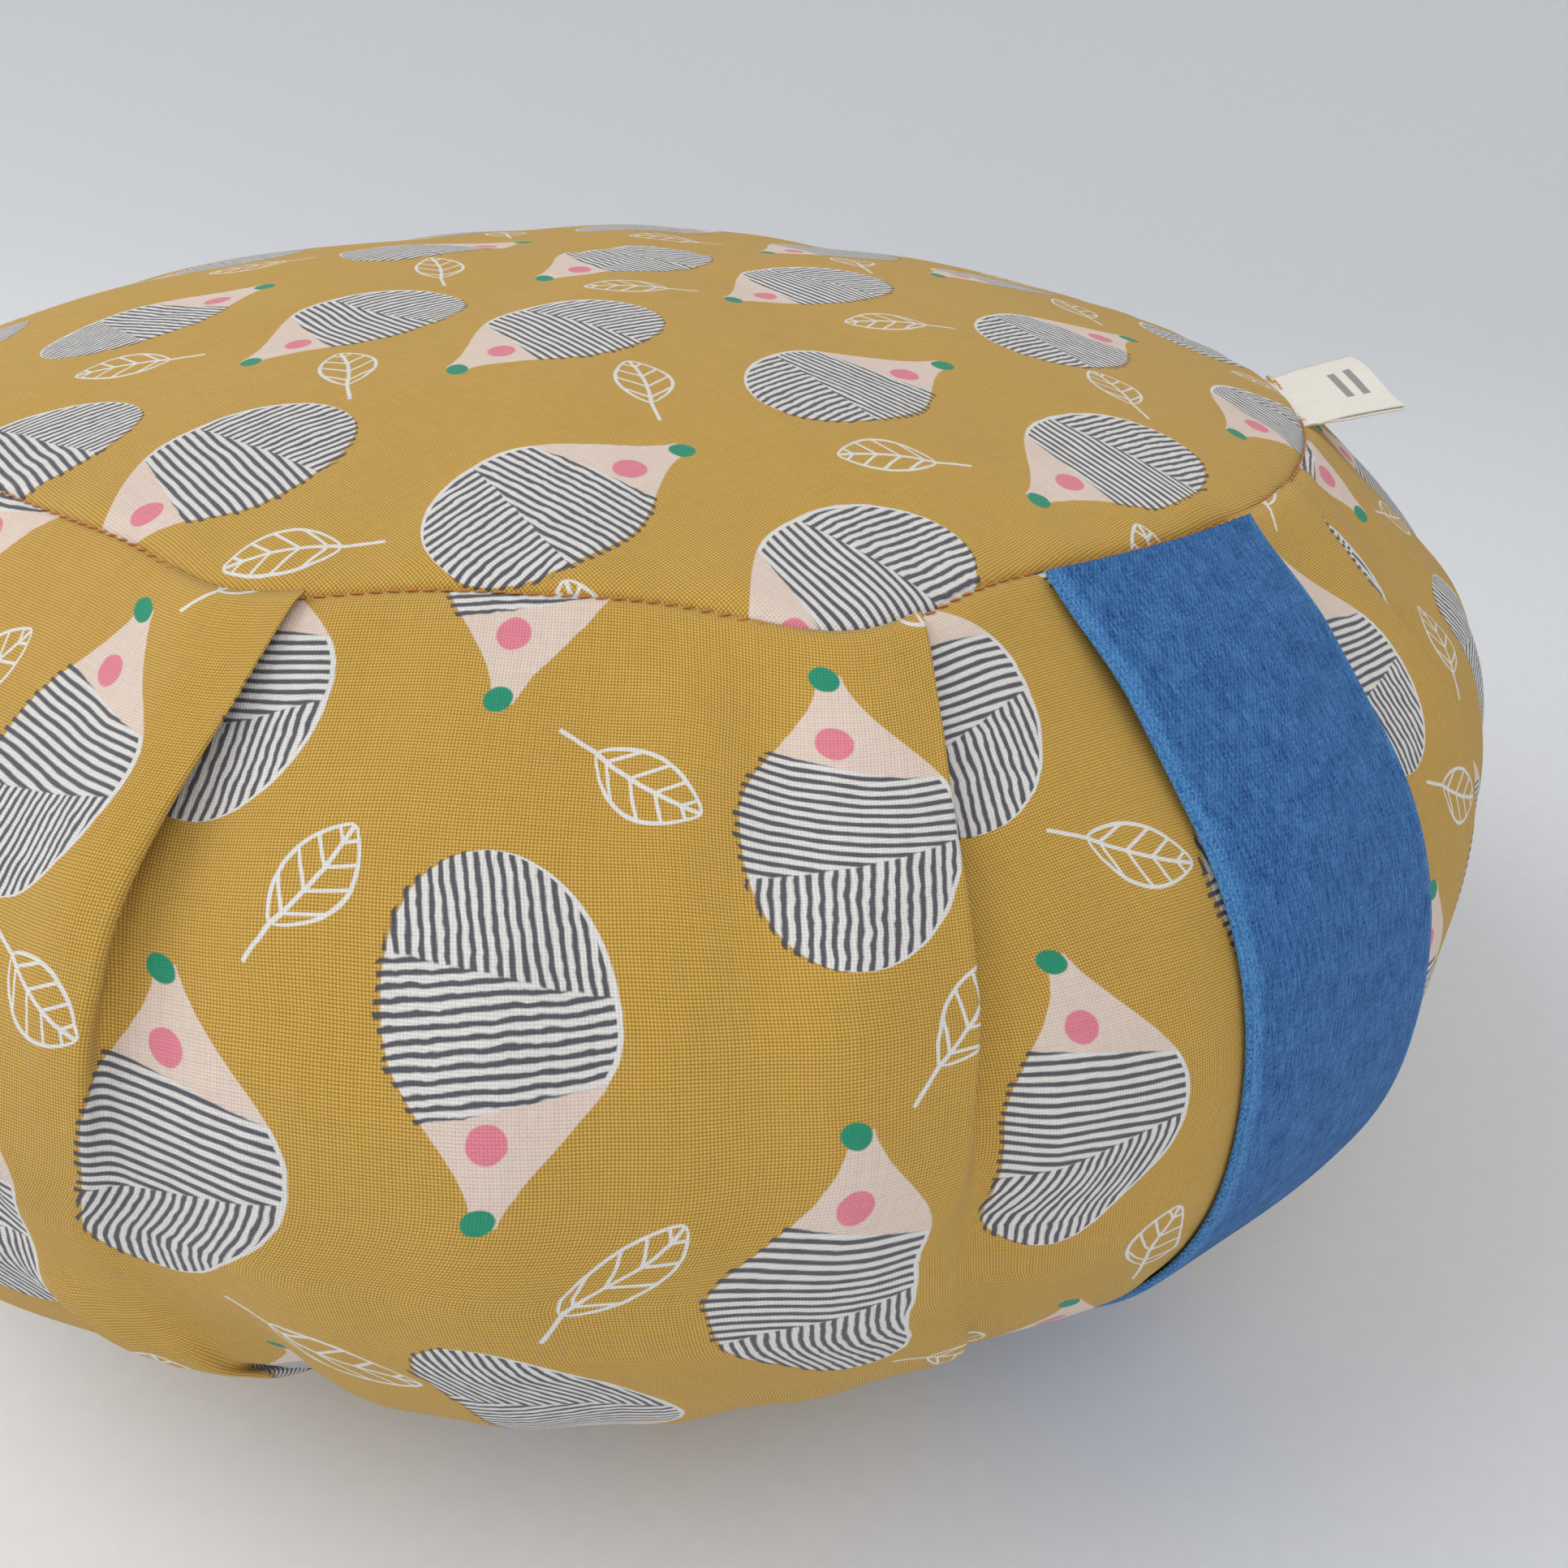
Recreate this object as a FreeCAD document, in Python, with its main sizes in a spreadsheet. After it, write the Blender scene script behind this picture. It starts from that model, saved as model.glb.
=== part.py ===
"""Round pleated floor cushion: an outer cover with a carry strap, and a hull-filled inner cushion.

The origin is on the floor under the cushion's centre, +Z is up, and the carry strap is at -Y.
All sizes are in millimetres and angles in degrees. Angles round the cushion are measured from +X.
"""
import FreeCAD, Part
import math
import os
import Sketcher
from FreeCAD import Placement, Rotation, Vector

DRIVING_DIMENSIONS = [
    # outline of the filled cushion
    ("SeamRadius", 131.0), ("SeamHeight", 153.0), ("CrownRise", 19.0),
    ("EquatorRadius", 180.0), ("EquatorHeight", 83.0), ("BulgeRadius", 58.0),
    ("BottomSeamRadius", 129.5), ("BottomSeamHeight", 13.0), ("FlatRadius", 95.0),
    # cloth of the cover, its seams and its pleats
    ("CoverThickness", 0.8), ("SeamGap", 0.6), ("ThreadRadius", 0.35),
    ("PleatCount", 10), ("PleatAngle", -75.0), ("PleatDepth", 15.0), ("PleatRise", 0.9),
    ("PleatCrease", 1.5),
    # carry strap
    ("StrapWidth", 46.0), ("StrapThickness", 1.6), ("StrapClearance", 1.3),
    # folded label sewn into the top seam
    ("LabelAngle", -43.0), ("LabelLength", 42.0), ("LabelReach", 15.0), ("LabelThickness", 0.8),
    ("LabelLift", 10.0), ("LabelClearance", 1.2), ("LabelRise", 0.6),
    # zip in the bottom seam, at the back
    ("ZipStart", 24.0), ("ZipSweep", 132.0), ("ZipGap", 1.9), ("StopSweep", 1.0),
    ("CoilRadius", 0.65), ("CoilOffset", 1.15), ("CoilDepth", 0.6),
    ("TapeWidth", 10.0), ("TapeThickness", 0.5), ("TapeDepth", 0.85),
    ("StopLength", 2.0), ("StopWidth", 3.4), ("StopThickness", 1.0), ("StopSunk", 0.7),
    # zip slider and pull
    ("SliderAngle", 28.0), ("SliderLength", 9.0), ("SliderWidth", 6.0), ("SliderNose", 3.4),
    ("SliderLift", 1.3), ("SliderPlate", 1.0), ("SliderFoot", 0.5), ("SliderFootDepth", 1.8),
    ("NeckLength", 1.5), ("NeckWidth", 0.4),
    ("BridgeLength", 6.0), ("BridgeWidth", 1.2), ("BridgeHeight", 2.1), ("BridgeWall", 0.6),
    ("BridgeSunk", 0.2),
    ("PullBarRadius", 0.5), ("PullBarHeight", 3.1), ("PullWidth", 5.2), ("PullLength", 14.0),
    ("PullThickness", 1.0), ("PullArm", 4.0), ("PullArmWidth", 0.9), ("PullArmOverlap", 0.5),
    ("PullHoleRadius", 1.1),
    # inner cushion
    ("LinerInset", 3.0), ("LinerThickness", 0.6), ("LinerSeamGap", 0.45),
    ("LinerThreadRadius", 0.25), ("FillingGap", 0.2),
    ("StitchCount", 11), ("StitchPitch", 4.0), ("StitchLength", 6.0), ("StitchThickness", 0.4),
    ("StitchWidth", 0.8), ("StitchClearance", 0.1),
    # how far cutting solids run past the pieces that they cut
    ("CutMargin", 10.0), ("ZoneOutside", 2.0),
]

doc = FreeCAD.newDocument("FloorCushion")
sheet = doc.addObject("Spreadsheet::Sheet", "Dims")
value = {}


def add_dimension(alias, number):
    """Put one named number in the sheet."""
    value[alias] = number
    row = len(value)
    sheet.set(f"A{row}", alias)
    sheet.set(f"B{row}", str(number))
    sheet.setAlias(f"B{row}", alias)


def bind(item, bindings):
    """Bind an object's properties to sheet cells: {"Length": "Dims.StrapWidth"}."""
    for name, expression in bindings.items():
        item.setExpression(name, expression)


# ---------------------------------------------------------------- outline of the filled cushion

def shoulder_angle(seam_radius, seam_height):
    """Slope of the straight cloth between a seam and the bulge, which it meets tangentially."""
    across = value["EquatorRadius"] - value["BulgeRadius"] - seam_radius
    along = -abs(value["EquatorHeight"] - seam_height)
    half_view = math.asin(value["BulgeRadius"] / math.hypot(across, along))
    return math.degrees(math.atan2(along, across) + half_view)


def outline_points(inset):
    """Corners of the half section, from the crown down to the flat base, at a depth under the surface."""
    crown = value["CrownRadius"] - inset
    bulge = value["BulgeRadius"] - inset
    bulge_centre = Vector(value["EquatorRadius"] - value["BulgeRadius"], value["EquatorHeight"], 0)
    base = value["BaseRadius"] - inset
    points = {"crown": Vector(0, value["CrownCentre"] + crown, 0),
              "flat": Vector(value["FlatRadius"], inset, 0), "middle": Vector(0, inset, 0)}
    for name, angle, centre, radius in (
            ("top", value["TopShoulder"], Vector(0, value["CrownCentre"], 0), crown),
            ("bottom", -value["BottomShoulder"], Vector(value["FlatRadius"], value["BaseRadius"], 0), base)):
        run = Vector(math.cos(math.radians(angle)), math.sin(math.radians(angle)), 0)
        normal = Vector(-run.y, run.x, 0) * (1 if name == "top" else -1)
        tangent = bulge_centre + normal * bulge
        to_centre = centre - tangent
        along = to_centre.dot(run)
        aside = (to_centre - run * along).Length
        half_chord = math.sqrt(radius ** 2 - aside ** 2)
        far = tangent + run * (along - half_chord)
        near = tangent + run * (along + half_chord)
        seam = Vector(value["SeamRadius"] if name == "top" else value["BottomSeamRadius"],
                      value["SeamHeight"] if name == "top" else value["BottomSeamHeight"], 0)
        points[name + "_tangent"] = tangent
        points[name + "_seam"] = min((far, near), key=lambda point: point.distanceToPoint(seam))
    return points


for dimension in DRIVING_DIMENSIONS:
    add_dimension(*dimension)
# worked out from the driving dimensions
add_dimension("CrownRadius", (value["SeamRadius"] ** 2 + value["CrownRise"] ** 2) / (2 * value["CrownRise"]))
add_dimension("CrownCentre", value["SeamHeight"] + value["CrownRise"] - value["CrownRadius"])
base_reach = value["BottomSeamRadius"] - value["FlatRadius"]
add_dimension("BaseRadius", (base_reach ** 2 + value["BottomSeamHeight"] ** 2)
              / (2 * value["BottomSeamHeight"]))
add_dimension("TopShoulder", shoulder_angle(value["SeamRadius"], value["SeamHeight"]))
add_dimension("BottomShoulder", shoulder_angle(value["BottomSeamRadius"], value["BottomSeamHeight"]))
liner_outline = outline_points(value["LinerInset"] + value["LinerThickness"] / 2)
add_dimension("LinerSeamRadius", liner_outline["top_seam"].x)
add_dimension("LinerSeamHeight", liner_outline["top_seam"].y)
add_dimension("LinerBottomSeamRadius", liner_outline["bottom_seam"].x)
add_dimension("LinerBottomSeamHeight", liner_outline["bottom_seam"].y)
cover_outline = outline_points(value["CoverThickness"] / 2)
add_dimension("ThreadHeight", cover_outline["top_seam"].y)
add_dimension("BottomThreadHeight", cover_outline["bottom_seam"].y)
doc.recompute()


# ---------------------------------------------------------------- sketch and body helpers

def origin_item(body, role):
    """One of a body's own origin planes or axes."""
    return next(item for item in body.Origin.OriginFeatures if item.Role == role)


def add_body(name):
    return doc.addObject("PartDesign::Body", name)


def add_sketch(body, name, plane="XY_Plane", offset=None):
    sketch = body.newObject("Sketcher::SketchObject", name)
    sketch.AttachmentSupport = [(origin_item(body, plane), "")]
    sketch.MapMode = "FlatFace"
    if offset is not None:
        sketch.AttachmentOffset = offset
    return sketch


def constrain(sketch, name, expression, *constraint):
    """Add one sketch dimension, name it and bind it to the sheet."""
    index = sketch.addConstraint(Sketcher.Constraint(*constraint))
    sketch.renameConstraint(index, name)
    sketch.setExpression("Constraints." + name, expression)


def add_polygon(sketch, corners):
    """Closed outline of straight lines joined end to end; returns the index of its first line."""
    first = None
    for here, there in zip(corners, corners[1:] + corners[:1]):
        line = sketch.addGeometry(Part.LineSegment(Vector(*here, 0), Vector(*there, 0)), False)
        first = line if first is None else first
    for step in range(len(corners)):
        following = first + (step + 1) % len(corners)
        sketch.addConstraint(Sketcher.Constraint("Coincident", first + step, 2, following, 1))
    return first


def add_rectangle(sketch, low, size, label):
    """Rectangle from its low corner; low and size are pairs of (number, expression)."""
    (x, x_cell), (y, y_cell) = low
    (width, width_cell), (height, height_cell) = size
    first = add_polygon(sketch, [(x, y), (x + width, y), (x + width, y + height), (x, y + height)])
    for step, direction in enumerate(("Horizontal", "Vertical", "Horizontal", "Vertical")):
        sketch.addConstraint(Sketcher.Constraint(direction, first + step))
    constrain(sketch, label + "_x", x_cell, "DistanceX", -1, 1, first, 1, x)
    constrain(sketch, label + "_y", y_cell, "DistanceY", -1, 1, first, 1, y)
    constrain(sketch, label + "_width", width_cell, "DistanceX", first, 1, first, 2, width)
    constrain(sketch, label + "_height", height_cell, "DistanceY", first + 1, 1, first + 1, 2, height)


def add_pad(body, sketch, name, length_cell, both_ways=False):
    pad = body.newObject("PartDesign::Pad", name)
    pad.Profile = sketch
    pad.Midplane = both_ways
    pad.setExpression("Length", length_cell)
    return pad


def revolve(body, sketch, name, sweep_cell=None):
    """Turn a section about the cushion's upright axis."""
    turned = body.newObject("PartDesign::Revolution", name)
    turned.Profile = sketch
    turned.ReferenceAxis = (origin_item(body, "Z_Axis"), [""])
    turned.Angle = 360
    if sweep_cell:
        turned.setExpression("Angle", sweep_cell)
    return turned


def add_cylinder(name, radius_cell, low_cell, height_cell):
    cylinder = doc.addObject("Part::Cylinder", name)
    bind(cylinder, {"Radius": radius_cell, "Placement.Base.z": low_cell, "Height": height_cell})
    return cylinder


def add_boolean(kind, name, base, tool):
    result = doc.addObject("Part::" + kind, name)
    result.Base = base
    result.Tool = tool
    return result


def add_ring(name, radius_cell, height_cell, tube_cell, start_cell="0", sweep_cell="360"):
    """Round thread or coil that runs round the cushion, whole or over part of a turn."""
    ring = doc.addObject("Part::Torus", name)
    bind(ring, {"Radius1": radius_cell, "Radius2": tube_cell, "Angle3": sweep_cell,
                "Placement.Base.z": height_cell, "Placement.Rotation.Angle": start_cell})
    return ring


def add_form(name, inset, inset_cell):
    """Solid bounded by the cushion's outline at a depth under its surface."""
    body = add_body(name)
    sketch = add_sketch(body, name + "_section", "XZ_Plane")
    points = outline_points(inset)
    z_axis = Vector(0, 0, 1)

    def arc(centre, radius, start, end):
        circle = Part.Circle(centre, z_axis, radius)
        angles = [math.atan2(point.y - centre.y, point.x - centre.x) for point in (start, end)]
        return sketch.addGeometry(Part.ArcOfCircle(circle, *angles), False)

    def line(start, end):
        return sketch.addGeometry(Part.LineSegment(start, end), False)

    bulge_centre = Vector(value["EquatorRadius"] - value["BulgeRadius"], value["EquatorHeight"], 0)
    crown = arc(Vector(0, value["CrownCentre"], 0), value["CrownRadius"] - inset,
                points["top_seam"], points["crown"])
    upper = line(points["top_seam"], points["top_tangent"])
    bulge = arc(bulge_centre, value["BulgeRadius"] - inset,
                points["bottom_tangent"], points["top_tangent"])
    lower = line(points["bottom_seam"], points["bottom_tangent"])
    base = arc(Vector(value["FlatRadius"], value["BaseRadius"], 0), value["BaseRadius"] - inset,
               points["flat"], points["bottom_seam"])
    flat = line(points["flat"], points["middle"])
    axis = line(points["middle"], points["crown"])
    for joint in ((crown, 1, upper, 1), (lower, 1, base, 2), (flat, 2, axis, 1), (axis, 2, crown, 2)):
        sketch.addConstraint(Sketcher.Constraint("Coincident", *joint))
    for joint in ((upper, 2, bulge, 2), (bulge, 1, lower, 2), (base, 1, flat, 1)):
        sketch.addConstraint(Sketcher.Constraint("Tangent", *joint))
    sketch.addConstraint(Sketcher.Constraint("Vertical", axis))
    sketch.addConstraint(Sketcher.Constraint("PointOnObject", axis, 1, -2))
    sketch.addConstraint(Sketcher.Constraint("Horizontal", flat))
    sketch.addConstraint(Sketcher.Constraint("PointOnObject", crown, 3, -2))
    constrain(sketch, "crown_centre", "-Dims.CrownCentre", "DistanceY", crown, 3, -1, 1,
              -value["CrownCentre"])
    constrain(sketch, "crown_radius", "Dims.CrownRadius - " + inset_cell, "Radius", crown,
              value["CrownRadius"] - inset)
    constrain(sketch, "bulge_x", "Dims.EquatorRadius - Dims.BulgeRadius", "DistanceX", -1, 1, bulge, 3,
              bulge_centre.x)
    constrain(sketch, "bulge_y", "Dims.EquatorHeight", "DistanceY", -1, 1, bulge, 3, bulge_centre.y)
    constrain(sketch, "bulge_radius", "Dims.BulgeRadius - " + inset_cell, "Radius", bulge,
              value["BulgeRadius"] - inset)
    constrain(sketch, "upper_slope", "Dims.TopShoulder", "Angle", upper,
              math.radians(value["TopShoulder"]))
    constrain(sketch, "lower_slope", "-Dims.BottomShoulder", "Angle", lower,
              math.radians(-value["BottomShoulder"]))
    constrain(sketch, "base_x", "Dims.FlatRadius", "DistanceX", -1, 1, base, 3, value["FlatRadius"])
    constrain(sketch, "base_y", "Dims.BaseRadius", "DistanceY", -1, 1, base, 3, value["BaseRadius"])
    constrain(sketch, "base_radius", "Dims.BaseRadius - " + inset_cell, "Radius", base,
              value["BaseRadius"] - inset)
    revolve(body, sketch, name + "_turned")
    return body


# ---------------------------------------------------------------- cloth pieces of the cover

ABOVE = "Dims.SeamHeight + Dims.CrownRise"  # a height that clears the whole cushion
seam_frame = Placement(Vector(value["BottomSeamRadius"], value["BottomSeamHeight"], 0),
                       Rotation(Vector(0, 0, 1), -value["BottomShoulder"]))


def add_zip_section(name, low, size):
    """Ring sector with a rectangular section, placed in the sloping frame of the bottom seam.

    In that frame X runs up the side of the cushion and Y runs into it.
    """
    body = add_body(name)
    sketch = add_sketch(body, name + "_section", "XZ_Plane", seam_frame)
    add_rectangle(sketch, low, size, "section")
    revolve(body, sketch, name + "_turned", "Dims.ZipSweep")
    bind(body, {"Placement.Rotation.Angle": "Dims.ZipStart"})
    return body


def make_pleat_zone():
    """Ten upright slabs, wide at both seams and narrow between them, where the pleats lie folded."""
    body = add_body("pleat_zone")
    outside = Placement(Vector(0, 0, value["SeamRadius"]), Rotation())
    sketch = add_sketch(body, "pleat_outline", "XZ_Plane", outside)
    wide, narrow = value["PleatDepth"], value["PleatCrease"]
    top = value["SeamHeight"] + value["CrownRise"]
    middle = value["EquatorHeight"]
    first = add_polygon(sketch, [(0, 0), (0, top), (-wide, top), (-narrow, middle), (-wide, 0)])
    sketch.addConstraint(Sketcher.Constraint("Coincident", first, 1, -1, 1))
    sketch.addConstraint(Sketcher.Constraint("Vertical", first))
    sketch.addConstraint(Sketcher.Constraint("Horizontal", first + 1))
    sketch.addConstraint(Sketcher.Constraint("Horizontal", first + 4))
    constrain(sketch, "top", ABOVE, "DistanceY", first, 1, first, 2, top)
    constrain(sketch, "depth", "Dims.PleatDepth", "DistanceX", first + 1, 2, first + 1, 1, wide)
    constrain(sketch, "bottom_depth", "Dims.PleatDepth", "DistanceX", first + 4, 1, first + 4, 2, wide)
    constrain(sketch, "crease", "Dims.PleatCrease", "DistanceX", first + 2, 2, -1, 1, narrow)
    constrain(sketch, "crease_height", "Dims.EquatorHeight", "DistanceY", -1, 1, first + 2, 2, middle)
    pad = add_pad(body, sketch, "pleat_slab", "Dims.EquatorRadius - Dims.SeamRadius + Dims.CutMargin")
    pattern = body.newObject("PartDesign::PolarPattern", "pleats_round")
    pattern.Originals = [pad]
    pattern.Axis = (origin_item(body, "Z_Axis"), [""])
    pattern.Angle = 360
    pattern.setExpression("Occurrences", "Dims.PleatCount")
    body.Tip = pattern
    bind(body, {"Placement.Rotation.Angle": "Dims.PleatAngle + 90"})
    return body


def make_cover():
    """Top panel, pleated side band and bottom panel, with the zip's opening left in the bottom seam."""
    outer = add_form("cover_form", 0.0, "0")
    pleat_form = add_form("pleat_form", -value["PleatRise"], "(-Dims.PleatRise)")
    inner = add_form("cover_hollow", value["CoverThickness"], "Dims.CoverThickness")
    folds = add_boolean("Common", "pleat_folds", pleat_form, make_pleat_zone())
    pleated = add_boolean("Fuse", "pleated_form", outer, folds)
    shell = add_boolean("Cut", "cover_shell", pleated, inner)
    upper_cut = add_cylinder("upper_seam_cut", "Dims.SeamRadius + Dims.SeamGap", "Dims.EquatorHeight", ABOVE)
    lower_cut = add_cylinder("lower_seam_cut", "Dims.BottomSeamRadius + Dims.SeamGap",
                             "-Dims.EquatorHeight", "2 * Dims.EquatorHeight")
    top_disc = add_cylinder("top_disc", "Dims.SeamRadius - Dims.SeamGap", "Dims.EquatorHeight", ABOVE)
    bottom_disc = add_cylinder("bottom_disc", "Dims.BottomSeamRadius - Dims.SeamGap",
                               "-Dims.EquatorHeight", "2 * Dims.EquatorHeight")
    outside = value["ZoneOutside"]
    opening = add_zip_section(
        "zip_opening", ((-value["ZipGap"], "-Dims.ZipGap"), (-outside, "-Dims.ZoneOutside")),
        ((2 * value["ZipGap"], "2 * Dims.ZipGap"), (2 * outside, "2 * Dims.ZoneOutside")))
    top_panel = add_boolean("Common", "top_panel", shell, top_disc)
    open_top = add_boolean("Cut", "band_open_top", shell, upper_cut)
    band = add_boolean("Cut", "band_open", open_top, lower_cut)
    side_band = add_boolean("Cut", "side_band", band, opening)
    bottom = add_boolean("Common", "bottom_whole", shell, bottom_disc)
    bottom_panel = add_boolean("Cut", "bottom_panel", bottom, opening)
    top_thread = add_ring("top_seam_thread", "Dims.SeamRadius", "Dims.ThreadHeight", "Dims.ThreadRadius")
    bottom_thread = add_ring("bottom_seam_thread", "Dims.BottomSeamRadius", "Dims.BottomThreadHeight",
                             "Dims.ThreadRadius", "Dims.ZipStart + Dims.ZipSweep", "360 - Dims.ZipSweep")
    return [top_panel, side_band, bottom_panel, top_thread, bottom_thread]


def make_handle_strap():
    """Flat strap over the bulge at -Y, just clear of the side band, from seam to seam."""
    inside = value["StrapClearance"]
    outer = add_form("strap_form", -inside - value["StrapThickness"],
                     "(-Dims.StrapClearance - Dims.StrapThickness)")
    inner = add_form("strap_hollow", -inside, "(-Dims.StrapClearance)")
    shell = add_boolean("Cut", "strap_shell", outer, inner)
    window = doc.addObject("Part::Box", "strap_width_box")
    bind(window, {"Length": "Dims.StrapWidth", "Width": "2 * Dims.EquatorRadius",
                  "Height": ABOVE + " + Dims.CutMargin",
                  "Placement.Base.x": "-Dims.StrapWidth / 2",
                  "Placement.Base.y": "-2 * Dims.EquatorRadius"})
    strip = add_boolean("Common", "strap_strip", shell, window)
    core = add_cylinder("strap_core", "Dims.SeamRadius + Dims.StrapClearance", "-Dims.CutMargin",
                        ABOVE + " + 2 * Dims.CutMargin")
    return add_boolean("Cut", "handle_strap", strip, core)


def make_label():
    """Folded label that sticks out of the top seam, tilted up a little."""
    label = doc.addObject("Part::Box", "label_tab")
    bind(label, {"Length": "Dims.LabelReach", "Width": "Dims.LabelLength", "Height": "Dims.LabelThickness"})
    turned = Rotation(Vector(0, 0, 1), value["LabelAngle"])
    tilted = turned.multiply(Rotation(Vector(0, 1, 0), -value["LabelLift"]))
    root = Vector(value["SeamRadius"] + value["LabelClearance"], 0, value["SeamHeight"] + value["LabelRise"])
    middle = Vector(0, -value["LabelLength"] / 2, 0)
    label.Placement = Placement(turned.multVec(root) + turned.multVec(middle), tilted)
    return label


# ---------------------------------------------------------------- zip

def zip_placement(angle):
    """Frame on the bottom seam: X along the seam, Y up the side, Z out of the cushion."""
    around = Vector(-math.sin(math.radians(angle)), math.cos(math.radians(angle)), 0)
    radial = Vector(around.y, -around.x, 0)
    slope = math.radians(-value["BottomShoulder"])
    up_side = radial * math.cos(slope) + Vector(0, 0, math.sin(slope))
    outward = around.cross(up_side)
    place = radial * value["BottomSeamRadius"] + Vector(0, 0, value["BottomSeamHeight"])
    return Placement(place, Rotation(around, up_side, outward, "XYZ"))


def make_zip_tapes_and_coils():
    """Two cloth tapes that lie behind the cover's edges, each with its coil."""
    outer = add_form("tape_form", value["TapeDepth"], "Dims.TapeDepth")
    inner = add_form("tape_hollow", value["TapeDepth"] + value["TapeThickness"],
                     "(Dims.TapeDepth + Dims.TapeThickness)")
    shell = add_boolean("Cut", "tape_shell", outer, inner)
    outside = value["ZoneOutside"]
    zone_depth = (-outside, "-Dims.ZoneOutside")
    zone_size = ((value["TapeWidth"], "Dims.TapeWidth"), (4 * outside, "4 * Dims.ZoneOutside"))
    far_edge = (-value["ZipGap"] - value["TapeWidth"], "-Dims.ZipGap - Dims.TapeWidth")
    pieces = []
    for name, side, edge in (("upper", 1, (value["ZipGap"], "Dims.ZipGap")), ("lower", -1, far_edge)):
        zone = add_zip_section(f"{name}_tape_zone", (edge, zone_depth), zone_size)
        pieces.append(add_boolean("Common", "zip_tape_" + name, shell, zone))
        centre = seam_frame.multVec(Vector(side * value["CoilOffset"], value["CoilDepth"], 0))
        title = name.capitalize()
        add_dimension(f"{title}CoilRadius", centre.x)
        add_dimension(f"{title}CoilHeight", centre.y)
        pieces.append(add_ring("zip_coil_" + name, f"Dims.{title}CoilRadius", f"Dims.{title}CoilHeight",
                               "Dims.CoilRadius", "Dims.ZipStart + 2 * Dims.StopSweep",
                               "Dims.ZipSweep - 4 * Dims.StopSweep"))
    return pieces


def make_zip_stops():
    """One small metal clip across both coils at each end of the zip."""
    clips = []
    for name, angle in (("closed", value["ZipStart"] + value["StopSweep"]),
                        ("open", value["ZipStart"] + value["ZipSweep"] - value["StopSweep"])):
        clip = doc.addObject("Part::Box", "zip_stop_" + name)
        bind(clip, {"Length": "Dims.StopLength", "Width": "Dims.StopWidth", "Height": "Dims.StopThickness"})
        centred = Placement(Vector(-value["StopLength"] / 2, -value["StopWidth"] / 2, -value["StopSunk"]),
                            Rotation())
        clip.Placement = zip_placement(angle).multiply(centred)
        clips.append(clip)
    stops = doc.addObject("Part::Compound", "zip_end_stops")
    stops.Links = clips
    return stops


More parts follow.
